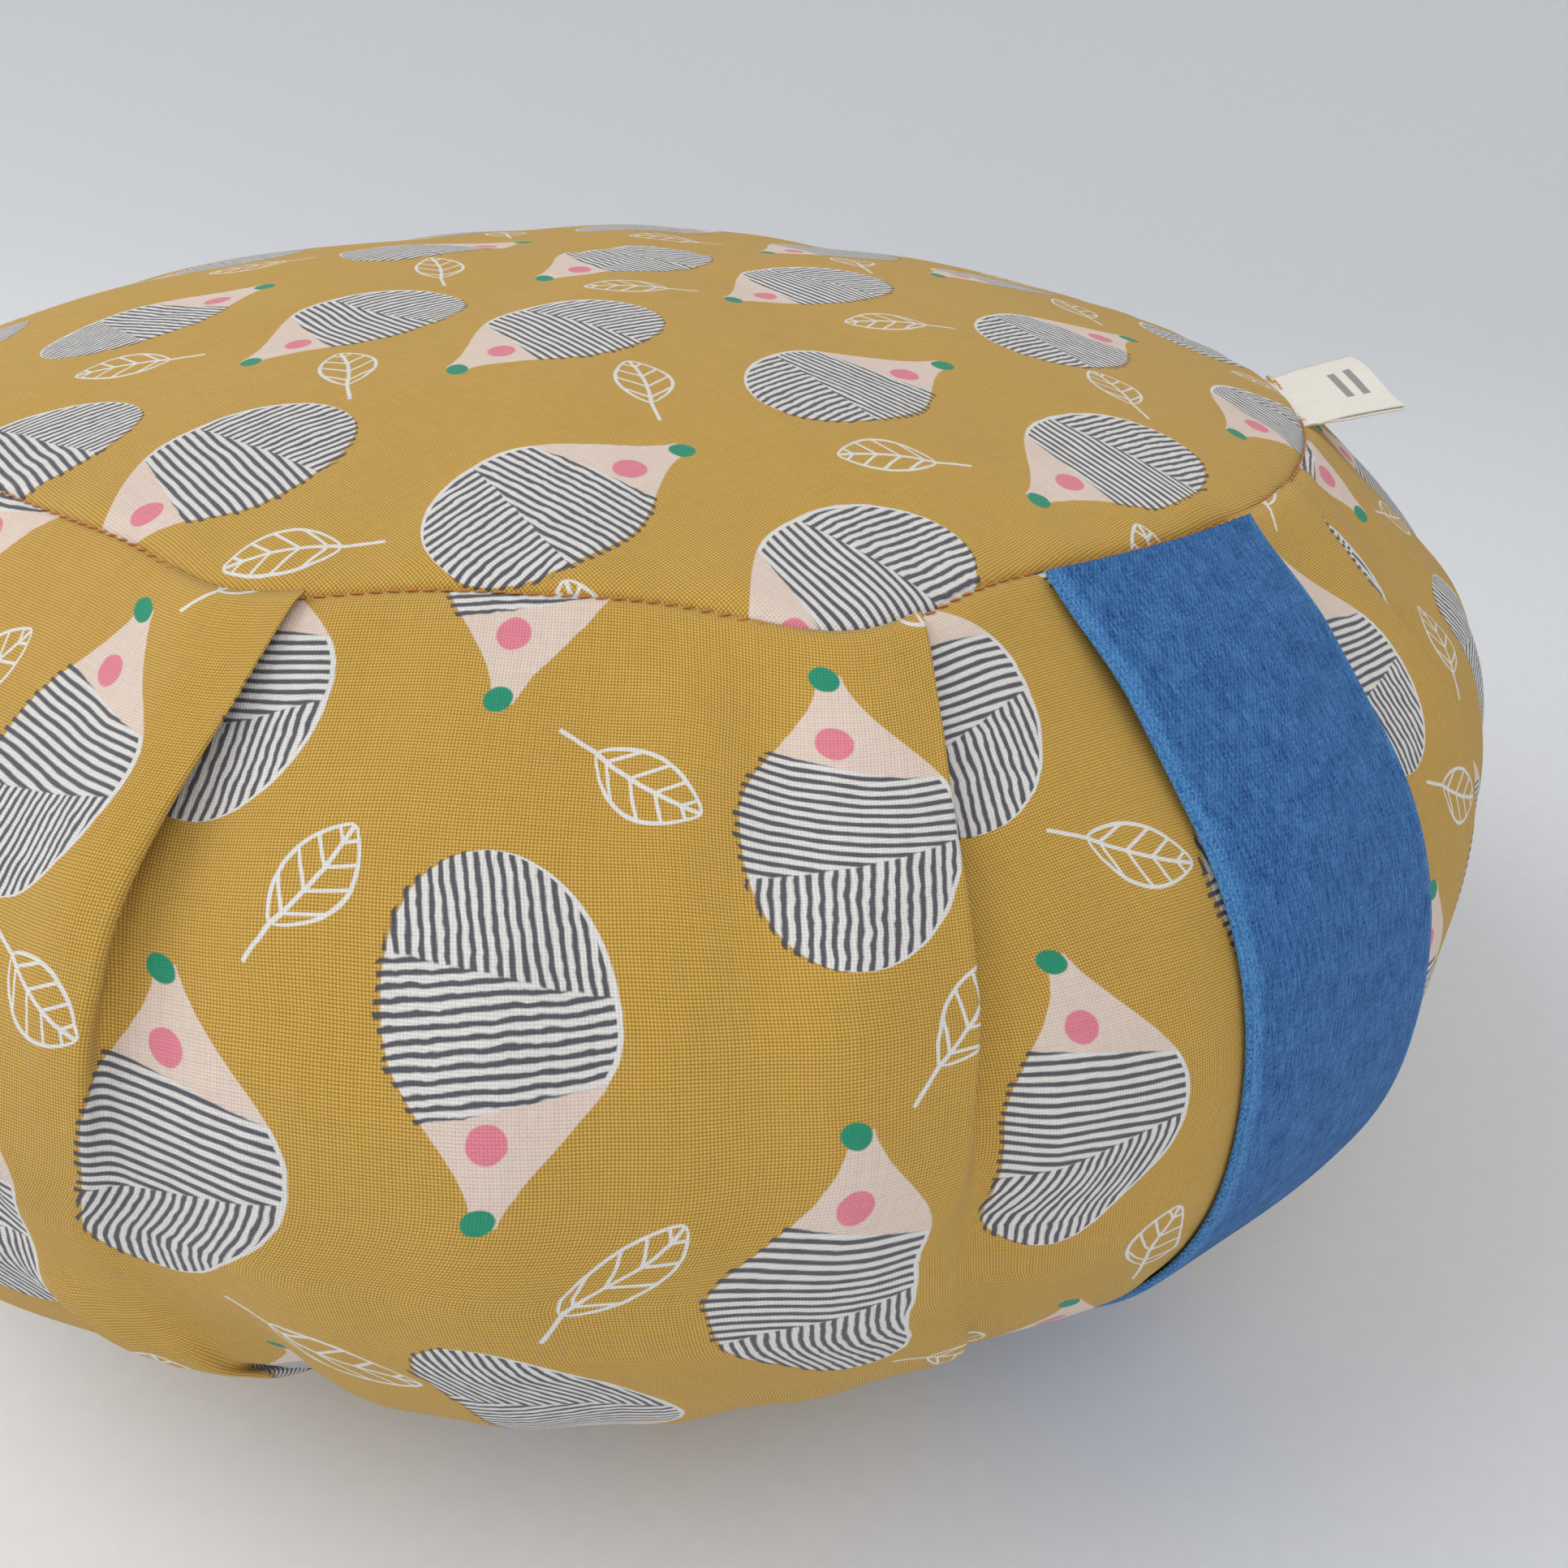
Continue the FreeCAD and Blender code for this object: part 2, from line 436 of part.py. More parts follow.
def make_zip_slider():
    """Slider with a top plate, a neck between the coils, a foot under the tapes and a bridge."""
    body = add_body("zip_slider")
    half_length, half_width = value["SliderLength"] / 2, value["SliderWidth"] / 2
    nose = value["SliderNose"] / 2
    lift = Placement(Vector(0, 0, value["SliderLift"]), Rotation())
    plate = add_sketch(body, "slider_plan", "XY_Plane", lift)
    first = add_polygon(plate, [(-half_length, -half_width), (0, -half_width), (half_length, -nose),
                                (half_length, nose), (0, half_width), (-half_length, half_width)])
    for horizontal in (0, 4):
        plate.addConstraint(Sketcher.Constraint("Horizontal", first + horizontal))
    plate.addConstraint(Sketcher.Constraint("Symmetric", first + 5, 1, first + 5, 2, -1))
    plate.addConstraint(Sketcher.Constraint("Symmetric", first + 2, 1, first + 2, 2, -1))
    constrain(plate, "width", "Dims.SliderWidth", "DistanceY", first + 5, 2, first + 5, 1, 2 * half_width)
    constrain(plate, "nose", "Dims.SliderNose", "DistanceY", first + 2, 1, first + 2, 2, 2 * nose)
    for name, point in (("low_shoulder", (first, 2)), ("high_shoulder", (first + 3, 2))):
        plate.addConstraint(Sketcher.Constraint("PointOnObject", *point, -2))
    constrain(plate, "tail", "Dims.SliderLength / 2", "DistanceX", first, 1, -1, 1, half_length)
    constrain(plate, "head", "Dims.SliderLength / 2", "DistanceX", -1, 1, first + 1, 2, half_length)
    add_pad(body, plate, "slider_plate", "Dims.SliderPlate")

    neck_root = Placement(Vector(0, 0, -value["SliderFootDepth"] - value["SliderFoot"]), Rotation())
    neck = add_sketch(body, "neck_plan", "XY_Plane", neck_root)
    add_rectangle(neck, ((-half_length, "-Dims.SliderLength / 2"),
                         (-value["NeckWidth"] / 2, "-Dims.NeckWidth / 2")),
                  ((value["NeckLength"], "Dims.NeckLength"), (value["NeckWidth"], "Dims.NeckWidth")), "neck")
    add_pad(body, neck, "slider_neck",
            "Dims.SliderFootDepth + Dims.SliderFoot + Dims.SliderLift + Dims.BridgeSunk")

    foot = add_sketch(body, "foot_plan", "XY_Plane", neck_root)
    add_rectangle(foot, ((-half_length, "-Dims.SliderLength / 2"), (-half_width, "-Dims.SliderWidth / 2")),
                  ((2 * half_length, "Dims.SliderLength"), (2 * half_width, "Dims.SliderWidth")), "foot")
    add_pad(body, foot, "slider_foot", "Dims.SliderFoot")

    bridge = add_sketch(body, "bridge_side", "XZ_Plane")
    top_of_plate = value["SliderLift"] + value["SliderPlate"]
    sunk = value["BridgeSunk"]
    long, high, wall = value["BridgeLength"], value["BridgeHeight"], value["BridgeWall"]
    add_rectangle(bridge, ((-long / 2, "-Dims.BridgeLength / 2"),
                           (top_of_plate - sunk, "Dims.SliderLift + Dims.SliderPlate - Dims.BridgeSunk")),
                  ((long, "Dims.BridgeLength"), (high + sunk, "Dims.BridgeHeight + Dims.BridgeSunk")), "bridge")
    add_rectangle(bridge, ((wall - long / 2, "Dims.BridgeWall - Dims.BridgeLength / 2"),
                           (top_of_plate, "Dims.SliderLift + Dims.SliderPlate")),
                  ((long - 2 * wall, "Dims.BridgeLength - 2 * Dims.BridgeWall"),
                   (high - wall, "Dims.BridgeHeight - Dims.BridgeWall")), "window")
    add_pad(body, bridge, "slider_bridge", "Dims.BridgeWidth", both_ways=True)
    body.Placement = zip_placement(value["SliderAngle"])
    return body


def make_zip_pull():
    """Pull tab: a cross bar under the slider's bridge, two arms past it and a flat tab with a hole."""
    height = "Dims.PullBarHeight - Dims.PullThickness / 2"
    bar = doc.addObject("Part::Cylinder", "pull_bar")
    bind(bar, {"Radius": "Dims.PullBarRadius", "Height": "Dims.PullWidth"})
    bar.Placement = Placement(Vector(0, value["PullWidth"] / 2, value["PullBarHeight"]),
                              Rotation(Vector(1, 0, 0), 90))
    joined = bar
    for name, low in (("near", "-Dims.PullWidth / 2"), ("far", "Dims.PullWidth / 2 - Dims.PullArmWidth")):
        arm = doc.addObject("Part::Box", "pull_arm_" + name)
        bind(arm, {"Length": "Dims.PullArm + Dims.PullArmOverlap", "Width": "Dims.PullArmWidth",
                   "Height": "Dims.PullThickness", "Placement.Base.y": low, "Placement.Base.z": height})
        joined = add_boolean("Fuse", "pull_with_" + name, joined, arm)
    tab = doc.addObject("Part::Box", "pull_tab")
    bind(tab, {"Length": "Dims.PullLength", "Width": "Dims.PullWidth", "Height": "Dims.PullThickness",
               "Placement.Base.x": "Dims.PullArm", "Placement.Base.y": "-Dims.PullWidth / 2",
               "Placement.Base.z": height})
    hole = doc.addObject("Part::Cylinder", "pull_hole")
    bind(hole, {"Radius": "Dims.PullHoleRadius", "Height": "3 * Dims.PullThickness",
                "Placement.Base.x": "Dims.PullArm + Dims.PullLength - Dims.PullWidth / 2",
                "Placement.Base.z": height + " - Dims.PullThickness"})
    pierced = add_boolean("Cut", "pull_tab_pierced", tab, hole)
    pull = add_boolean("Fuse", "zip_pull", joined, pierced)
    pull.Placement = zip_placement(value["SliderAngle"])
    return pull


# ---------------------------------------------------------------- inner cushion

def make_inner_cushion():
    """Cotton liner in three pieces, its seams, its hand-closed filling slit and the filling."""
    outer = add_form("liner_form", value["LinerInset"], "Dims.LinerInset")
    depth = value["LinerInset"] + value["LinerThickness"]
    inner = add_form("liner_hollow", depth, "(Dims.LinerInset + Dims.LinerThickness)")
    filling = add_form("hull_filling", depth + value["FillingGap"],
                       "(Dims.LinerInset + Dims.LinerThickness + Dims.FillingGap)")
    shell = add_boolean("Cut", "liner_shell", outer, inner)
    discs = {}
    for name, sign in (("disc", "-"), ("cut", "+")):
        discs["upper_" + name] = add_cylinder(
            "liner_upper_" + name, f"Dims.LinerSeamRadius {sign} Dims.LinerSeamGap",
            "Dims.EquatorHeight", ABOVE)
        discs["lower_" + name] = add_cylinder(
            "liner_lower_" + name, f"Dims.LinerBottomSeamRadius {sign} Dims.LinerSeamGap",
            "-Dims.EquatorHeight", "2 * Dims.EquatorHeight")
    top = add_boolean("Common", "liner_top", shell, discs["upper_disc"])
    bottom = add_boolean("Common", "liner_bottom", shell, discs["lower_disc"])
    open_top = add_boolean("Cut", "liner_side_open_top", shell, discs["upper_cut"])
    side = add_boolean("Cut", "liner_side", open_top, discs["lower_cut"])
    top_thread = add_ring("liner_top_seam_thread", "Dims.LinerSeamRadius", "Dims.LinerSeamHeight",
                          "Dims.LinerThreadRadius")
    bottom_thread = add_ring("liner_bottom_seam_thread", "Dims.LinerBottomSeamRadius",
                             "Dims.LinerBottomSeamHeight", "Dims.LinerThreadRadius")
    return [top, side, bottom, top_thread, bottom_thread, make_closing_stitches(), filling]


def make_closing_stitches():
    """Ladder of hand stitches over the slit at the back, through which the liner is filled."""
    stitches = []
    surface = value["BulgeRadius"] - value["LinerInset"] + value["StitchClearance"]
    middle = (value["StitchCount"] - 1) / 2
    for index in range(value["StitchCount"]):
        lean = (index - middle) * value["StitchPitch"] / surface
        outward = Rotation(Vector(1, 0, 0), math.degrees(lean))
        stitch = doc.addObject("Part::Box", f"liner_stitch_{index + 1}")
        bind(stitch, {"Length": "Dims.StitchLength", "Width": "Dims.StitchThickness",
                      "Height": "Dims.StitchWidth"})
        corner = Vector(-value["StitchLength"] / 2, surface, -value["StitchWidth"] / 2)
        bulge_centre = Vector(0, value["EquatorRadius"] - value["BulgeRadius"], value["EquatorHeight"])
        stitch.Placement = Placement(bulge_centre + outward.multVec(corner), outward)
        stitches.append(stitch)
    ladder = doc.addObject("Part::Compound", "liner_closing_stitches")
    ladder.Links = stitches
    return ladder


# ---------------------------------------------------------------- build, check and write

subparts = make_cover()
subparts += [make_handle_strap(), make_label()]
subparts += make_zip_tapes_and_coils()
subparts += [make_zip_stops(), make_zip_slider(), make_zip_pull()]
subparts += make_inner_cushion()
doc.recompute()

for item in doc.Objects:
    bad = {"Invalid", "Error"} & set(item.State)
    if bad:
        raise RuntimeError(f"{item.Name} is {', '.join(bad)}")
for item in subparts:
    if item.Shape.isNull() or not item.Shape.isValid():
        raise RuntimeError(f"{item.Name} has no valid shape")

os.makedirs("parts", exist_ok=True)
for item in subparts:
    item.Shape.exportStep(os.path.join("parts", item.Label + ".step"))
    box = item.Shape.BoundBox
    print(f"{item.Label:26s} {len(item.Shape.Solids):3d} solids {item.Shape.Volume:12.1f} mm3 "
          f"z {box.ZMin:7.2f} to {box.ZMax:7.2f}  x {box.XMin:8.2f} to {box.XMax:8.2f}"
          f"  y {box.YMin:8.2f} to {box.YMax:8.2f}")
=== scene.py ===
from math import acos, atan2, copysign, cos, hypot, pi, radians, sin, sqrt

import bmesh
import bpy
import numpy as np
from mathutils import Matrix, Vector


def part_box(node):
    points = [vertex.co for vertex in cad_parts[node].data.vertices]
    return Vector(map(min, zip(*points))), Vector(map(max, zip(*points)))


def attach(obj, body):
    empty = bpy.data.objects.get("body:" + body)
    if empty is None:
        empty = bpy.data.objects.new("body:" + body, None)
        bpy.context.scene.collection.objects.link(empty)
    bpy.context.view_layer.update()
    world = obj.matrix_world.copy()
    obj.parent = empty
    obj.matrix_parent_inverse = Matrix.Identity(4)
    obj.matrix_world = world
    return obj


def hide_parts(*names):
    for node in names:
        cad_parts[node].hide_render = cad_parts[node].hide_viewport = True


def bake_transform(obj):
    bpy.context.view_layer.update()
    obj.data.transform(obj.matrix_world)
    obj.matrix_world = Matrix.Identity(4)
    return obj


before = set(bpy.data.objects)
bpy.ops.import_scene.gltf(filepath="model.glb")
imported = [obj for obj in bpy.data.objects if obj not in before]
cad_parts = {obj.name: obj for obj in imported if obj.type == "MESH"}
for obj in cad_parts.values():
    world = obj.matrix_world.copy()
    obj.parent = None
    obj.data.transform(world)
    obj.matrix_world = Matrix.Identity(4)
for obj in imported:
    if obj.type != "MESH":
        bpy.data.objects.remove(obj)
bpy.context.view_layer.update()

MM = 0.001
CLOTH = 0.4 * MM


# ---- sizes read from the frame

def ring_of(node):
    """Radius, height and half thickness of a thread that runs round the cushion."""
    low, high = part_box(node)
    half = (high.z - low.z) / 2
    return high.x - half, (low.z + high.z) / 2, half


SEAM_R, SEAM_Z, _ = ring_of("top_seam_thread")
BOTTOM_R, BOTTOM_Z, _ = ring_of("bottom_seam_thread")
LINER_INSET = 3.0 * MM
EQUATOR_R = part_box("liner_side")[1].x + LINER_INSET
CROWN_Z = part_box("top_panel")[1].z
EQUATOR_Z = (SEAM_Z + BOTTOM_Z) / 2
BULGE = 58.0 * MM
BULGE_R = EQUATOR_R - BULGE
FLAT_R = 95.0 * MM
STRAP_LOW, STRAP_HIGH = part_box("handle_strap")
STRAP_WIDTH = STRAP_HIGH.x - STRAP_LOW.x
ZIP_START, ZIP_END = 24.0, 156.0
ZIP_GAP = 1.9 * MM

# edge angle of each pleat at the top seam, its drift at the equator (degrees), the seam's corner (mm)
PLEATS = ((-181, 1, 5), (-142.5, -2.5, 6), (-109.1, -1.7, 8), (-70.5, -1.5, 1), (-35, 1.2, 1),
          (1, -2, 7), (38, 1.5, 5), (74, -1, 6), (111, 2, 7), (146, -1.5, 5))


def smooth(t):
    t = np.clip(t, 0.0, 1.0)
    return t * t * (3 - 2 * t)


def ramp(distance, length):
    """Rise from zero to one over a length in millimetres."""
    return smooth(distance / (length * MM))


def fading(distance, length):
    """Fall from one towards zero, by a factor of e over each length in millimetres."""
    return np.exp(-distance / (length * MM))


def shoulder(r, z):
    """Angle of the bulge's normal where the straight shoulder from a seam touches it, and its length."""
    reach = hypot(r - BULGE_R, z - EQUATOR_Z)
    angle = atan2(z - EQUATOR_Z, r - BULGE_R)
    turned = angle - copysign(acos(BULGE / reach), angle)
    return turned, sqrt(reach ** 2 - BULGE ** 2)


TOP_NORMAL, TOP_RUN = shoulder(SEAM_R, SEAM_Z)
BOTTOM_NORMAL, BOTTOM_RUN = shoulder(BOTTOM_R, BOTTOM_Z)
SIDE_LENGTH = TOP_RUN + BULGE * (TOP_NORMAL - BOTTOM_NORMAL) + BOTTOM_RUN


def side_section(v):
    """Radius, height and outward normal of the filled side, at cloth lengths v below the top seam."""
    angle = np.clip(TOP_NORMAL - (v - TOP_RUN) / BULGE, BOTTOM_NORMAL, TOP_NORMAL)
    normal_r, normal_z = np.cos(angle), np.sin(angle)
    past = np.minimum(v - TOP_RUN, 0) + np.maximum(v - SIDE_LENGTH + BOTTOM_RUN, 0)
    r = BULGE_R + BULGE * normal_r + past * normal_z
    z = EQUATOR_Z + BULGE * normal_z - past * normal_r
    return r, z, normal_r, normal_z


def wrapped(angle):
    """Angle in radians brought to within half a turn of zero."""
    return (angle + pi) % (2 * pi) - pi


def seam_shape(theta):
    """How far the top seam stands out and up from its circle: it has a soft corner at each pleat."""
    out = np.zeros_like(theta)
    for edge, _, corner in PLEATS:
        away = wrapped(theta - radians(edge - 4))
        out += corner * MM * np.exp(-(away / radians(7)) ** 2)
    out -= 1.5 * MM
    return out, -0.35 * out


def drawn_in(theta, z):
    """How far the filled side stands back at the strap's right, where the cover is pulled tightest."""
    near = np.exp(-(wrapped(theta - radians(-55)) / radians(46)) ** 2)
    lower = smooth((SEAM_Z - 8 * MM - z) / (62 * MM)) * smooth((z - BOTTOM_Z) / (22 * MM))
    return 9.0 * MM * near * lower


# soft creases beside the pleats: angle (degrees), cloth length below the top seam (mm), lean (radians),
# half length, half width and rise (mm)
CREASES = ((-152, 88, 0.5, 22, 5.5, -3.4), (-147.5, 104, 0.9, 20, 5, 3), (-139.5, 126, 0.1, 26, 6.5, -4.2),
           (-146.5, 50, 0.15, 30, 8, 2.2), (-126, 20, 0.05, 20, 10, -2), (-118, 22, -0.05, 22, 9, -2.4),
           (-117.5, 62, -0.1, 26, 9, 1.6), (-110, 80, 0.1, 26, 6, -2.2), (-96, 16, 0.1, 18, 8, -1.6),
           (-62, 20, -0.1, 20, 9, -1.8), (-30, 100, -0.4, 24, 6, -3), (24, 30, 0.1, 26, 9, -2),
           (52, 110, 0.4, 24, 6, -2.8), (98, 60, -0.2, 30, 8, -2), (128, 100, 0.3, 24, 7, -2.6),
           (168, 40, -0.1, 26, 9, -2))


def creases(theta, v):
    """Offsets of the soft creases, each a short ridge or hollow with a lean of its own."""
    total = np.zeros(np.broadcast(theta, v).shape)
    for angle, height, lean, length, width, rise in CREASES:
        along, across = v - height * MM, wrapped(theta - radians(angle)) * EQUATOR_R
        run = along * cos(lean) + across * sin(lean)
        aside = across * cos(lean) - along * sin(lean)
        near = np.exp(-(run / (length * MM)) ** 2 - (aside / (width * MM)) ** 2)
        total += rise * MM * near
    return total


def lumps(theta, v, size):
    """Slow unevenness of a filled cover, repeatable, with waves that close round the cushion."""
    total = np.zeros(np.broadcast(theta, v).shape)
    waves = np.random.default_rng(11)
    for _ in range(9):
        turns, climb = waves.integers(3, 15), waves.uniform(-45, 45)
        total += np.sin(turns * theta + climb * v + waves.uniform(0, 2 * pi)) * waves.uniform(0.4, 1)
    return size * total / 3


# ---- mesh helpers

def link(name, data):
    made = bpy.data.objects.new(name, data)
    bpy.context.scene.collection.objects.link(made)
    return made


def adjust(thing, **settings):
    """Set several properties of a Blender thing."""
    for name, setting in settings.items():
        setattr(thing, name, setting)
    return thing


def make_mesh(name, points, faces):
    mesh = bpy.data.meshes.new(name)
    mesh.from_pydata([tuple(point) for point in points], [],
                     [tuple(int(i) for i in face) for face in faces])
    return mesh


def make_piece(name, points, faces, body="cushion"):
    mesh = make_mesh(name, points, faces)
    mesh.validate()
    mesh.shade_smooth()
    piece = link(name, mesh)
    if body:
        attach(piece, body)
    return piece


def set_cloth_map(piece, loop_uv):
    """Cloth coordinates in millimetres, one pair for each corner of each face."""
    layer = piece.data.uv_layers.new(name="cloth")
    layer.data.foreach_set("uv", np.asarray(loop_uv, float).ravel())


def map_grid(piece, faces, u, v, girth=0.0):
    """Cloth coordinates of a grid, from its cloth lengths; a closed one ends a girth past its start."""
    columns = u.shape[1]
    corner_u, corner_v = (u / MM).ravel()[faces], (v / MM).ravel()[faces]
    corner_u[faces[:, 0] % columns == columns - 1, 2:] += girth / MM
    set_cloth_map(piece, np.stack((corner_u, corner_v), -1).reshape(-1, 2))


def grid_faces(rows, columns, closed=False):
    """Quads of a grid whose points run along its rows, seen from outside when rows run downwards."""
    across = columns if closed else columns - 1
    row, column = np.meshgrid(np.arange(rows - 1), np.arange(across), indexing="ij")
    right = (column + 1) % columns
    corners = (row * columns + column, (row + 1) * columns + column, (row + 1) * columns + right,
               row * columns + right)
    return np.stack(corners, -1).reshape(-1, 4)


def flipped(faces):
    return [tuple(reversed(face)) for face in faces]


def all_round(columns):
    """Angles of a closed grid's columns, evenly round from -180 degrees."""
    return np.linspace(-pi, pi, columns, endpoint=False)


def around(r, z, theta):
    return np.stack((r * np.cos(theta), r * np.sin(theta), z), -1)


def thicken(piece, thickness, offset=-1.0):
    solid = piece.modifiers.new("thickness", "SOLIDIFY")
    solid.thickness = thickness
    solid.offset = offset
    return solid


# ---- cloth simulation

def settle(points, cut_points, faces, held, pressure, frames=18):
    """Where the points of a cloth come to rest, blown from inside and held along its seams."""
    mesh = make_mesh("settling", points, faces)
    cloth = link("settling", mesh)
    cloth.shape_key_add(name="filled")
    cut = cloth.shape_key_add(name="cut")
    cut.data.foreach_set("co", np.asarray(cut_points, float).ravel())
    cloth.vertex_groups.new(name="seams").add([int(i) for i in held], 1.0, "REPLACE")
    modifier = cloth.modifiers.new("cloth", "CLOTH")
    adjust(modifier.settings, vertex_group_mass="seams", rest_shape_key=cut, use_pressure=True,
           uniform_pressure_force=pressure, quality=6, mass=0.15, tension_stiffness=25,
           compression_stiffness=25, shear_stiffness=10, bending_stiffness=0.12, air_damping=3)
    modifier.settings.effector_weights.gravity = 0
    modifier.collision_settings.use_collision = False
    modifier.point_cache.frame_end = frames
    for step in range(1, frames + 1):
        bpy.context.scene.frame_set(step)
    settled = cloth.evaluated_get(bpy.context.evaluated_depsgraph_get())
    places = np.zeros(3 * len(mesh.vertices))
    settled.data.vertices.foreach_get("co", places)
    bpy.data.objects.remove(cloth)
    bpy.context.scene.frame_set(1)
    return places.reshape(-1, 3)


def reader(values, rows_at):
    """Function that reads a grid of values: rows at the given places, columns evenly round from -180."""
    columns = values.shape[1]

    def read(theta, place):
        row = np.interp(place, rows_at, np.arange(len(rows_at)))
        column = (theta + pi) / (2 * pi) * columns
        row_low = np.minimum(row.astype(int), len(rows_at) - 2)
        column_low = np.floor(column).astype(int)
        row_part, column_part = row - row_low, column - column_low
        here, beyond = column_low % columns, (column_low + 1) % columns
        low = values[row_low, here] * (1 - column_part) + values[row_low, beyond] * column_part
        high = values[row_low + 1, here] * (1 - column_part) + values[row_low + 1, beyond] * column_part
        return low * (1 - row_part) + high * row_part

    return read


def simulate_side(rows=34, columns=330, spare=0.030, cap=3.0 * MM):
    """Soft puffs and puckers of the side, cut a little wider than its seams, as offsets along its normal."""
    v = np.linspace(0, SIDE_LENGTH, rows)
    v_grid, angle = np.meshgrid(v, all_round(columns), indexing="ij")
    r, z, normal_r, normal_z = side_section(v_grid)
    out, up = seam_shape(angle)
    near_top = 1 - ramp(v_grid, 70)
    from_seam = np.minimum(v_grid, SIDE_LENGTH - v_grid)
    start = 0.4 * MM * np.sin(37 * angle + 3 * np.sin(6 * angle)) * np.sin(pi * v_grid / SIDE_LENGTH)
    r = r + out * near_top
    z = z + up * near_top
    points = around(r + normal_r * start, z + normal_z * start, angle)
    wider = 1 + spare * (0.35 + 0.65 * fading(from_seam, 30))
    held = np.concatenate((np.arange(columns), np.arange(columns) + (rows - 1) * columns))
    faces = grid_faces(rows, columns, closed=True)
    places = settle(points.reshape(-1, 3), around(r * wider, z, angle).reshape(-1, 3), faces, held, 4.0)
    places = places.reshape(rows, columns, 3)
    moved_r = places[..., 0] * np.cos(angle) + places[..., 1] * np.sin(angle) - r
    moved = moved_r * normal_r + (places[..., 2] - z) * normal_z
    moved -= moved.mean(1, keepdims=True)
    return reader(cap * np.tanh(moved / cap), v)


def top_radius(theta):
    return SEAM_R + seam_shape(theta)[0]


def top_height(rho, theta):
    """Height of the smooth filled top, from its middle (0) to its seam (1)."""
    return SEAM_Z + seam_shape(theta)[1] * rho ** 4 + (CROWN_Z - SEAM_Z) * (1 - rho ** 2.3)


def simulate_top(rings=40, columns=240, spare=0.010, cap=2.5 * MM):
    """Soft unevenness of the stretched top, as heights, from its seam (0) to its middle (1)."""
    points, faces = disc_points(rings, columns, top_radius, top_height)
    start = points + np.array((0, 0, 0.3 * MM)) * np.sin(90 * points[:, :1]) * np.sin(80 * points[:, 1:2])
    places = settle(start, points * (1 + spare, 1 + spare, 1), flipped(faces), np.arange(columns), 3.0)
    moved = (places - points)[:-1, 2].reshape(rings, columns)
    moved -= moved.mean(1, keepdims=True)
    return reader(cap * np.tanh(moved / cap), 1 - ring_shares(rings))


# ---- pleated side band

FOLD_STEPS = 24
PANEL_STEPS = 36
SIDE_ROWS = 96
FOLD_PLACES = -np.cos(np.linspace(0, pi, FOLD_STEPS + 1))
FINE = np.linspace(-1, 1, 161)
EDGE_SHIFT = 6.5 * MM


def fold_path(turning, ease):
    """Path of a cloth that turns back by an angle and forward again, over a length of two."""
    heading = turning * smooth((1 - np.abs(FINE)) / ease)
    step = FINE[1] - FINE[0]
    along, down = np.cos(heading), np.sin(heading)
    x = np.concatenate(([0], np.cumsum((along[1:] + along[:-1]) / 2) * step))
    y = np.concatenate(([0], np.cumsum((down[1:] + down[:-1]) / 2) * step))
    return x, y


def solve_fold(depth, drop, ease):
    """Half length and path of the fold that takes up twice the depth and steps down by the drop."""
    low, high = 0.02, pi
    for _ in range(24):
        turning = (low + high) / 2
        x, y = fold_path(turning, ease)
        if y[-1] / (2 - x[-1]) > drop / (2 * depth):
            low = turning
        else:
            high = turning
    half = 2 * depth / (2 - x[-1])
    return half, half * x, -half * y


def pleat_step(v):
    """How far a pleat's top layer stands above the cloth beside it."""
    from_seam = np.minimum(v, SIDE_LENGTH - v) / (SIDE_LENGTH / 2)
    at_seam = np.where(v < SIDE_LENGTH / 2, 1.6 * MM, 0.9 * MM)
    rise = at_seam + (5.2 * MM - at_seam) * smooth(from_seam / 0.42)
    middle = 3.2 * MM * smooth((from_seam - 0.42) / 0.58)
    lower = 3.4 * MM * smooth((v - 70 * MM) / (25 * MM)) * smooth((SIDE_LENGTH - v) / (40 * MM))
    return rise - np.maximum(middle, np.minimum(lower, rise - 0.5 * MM))


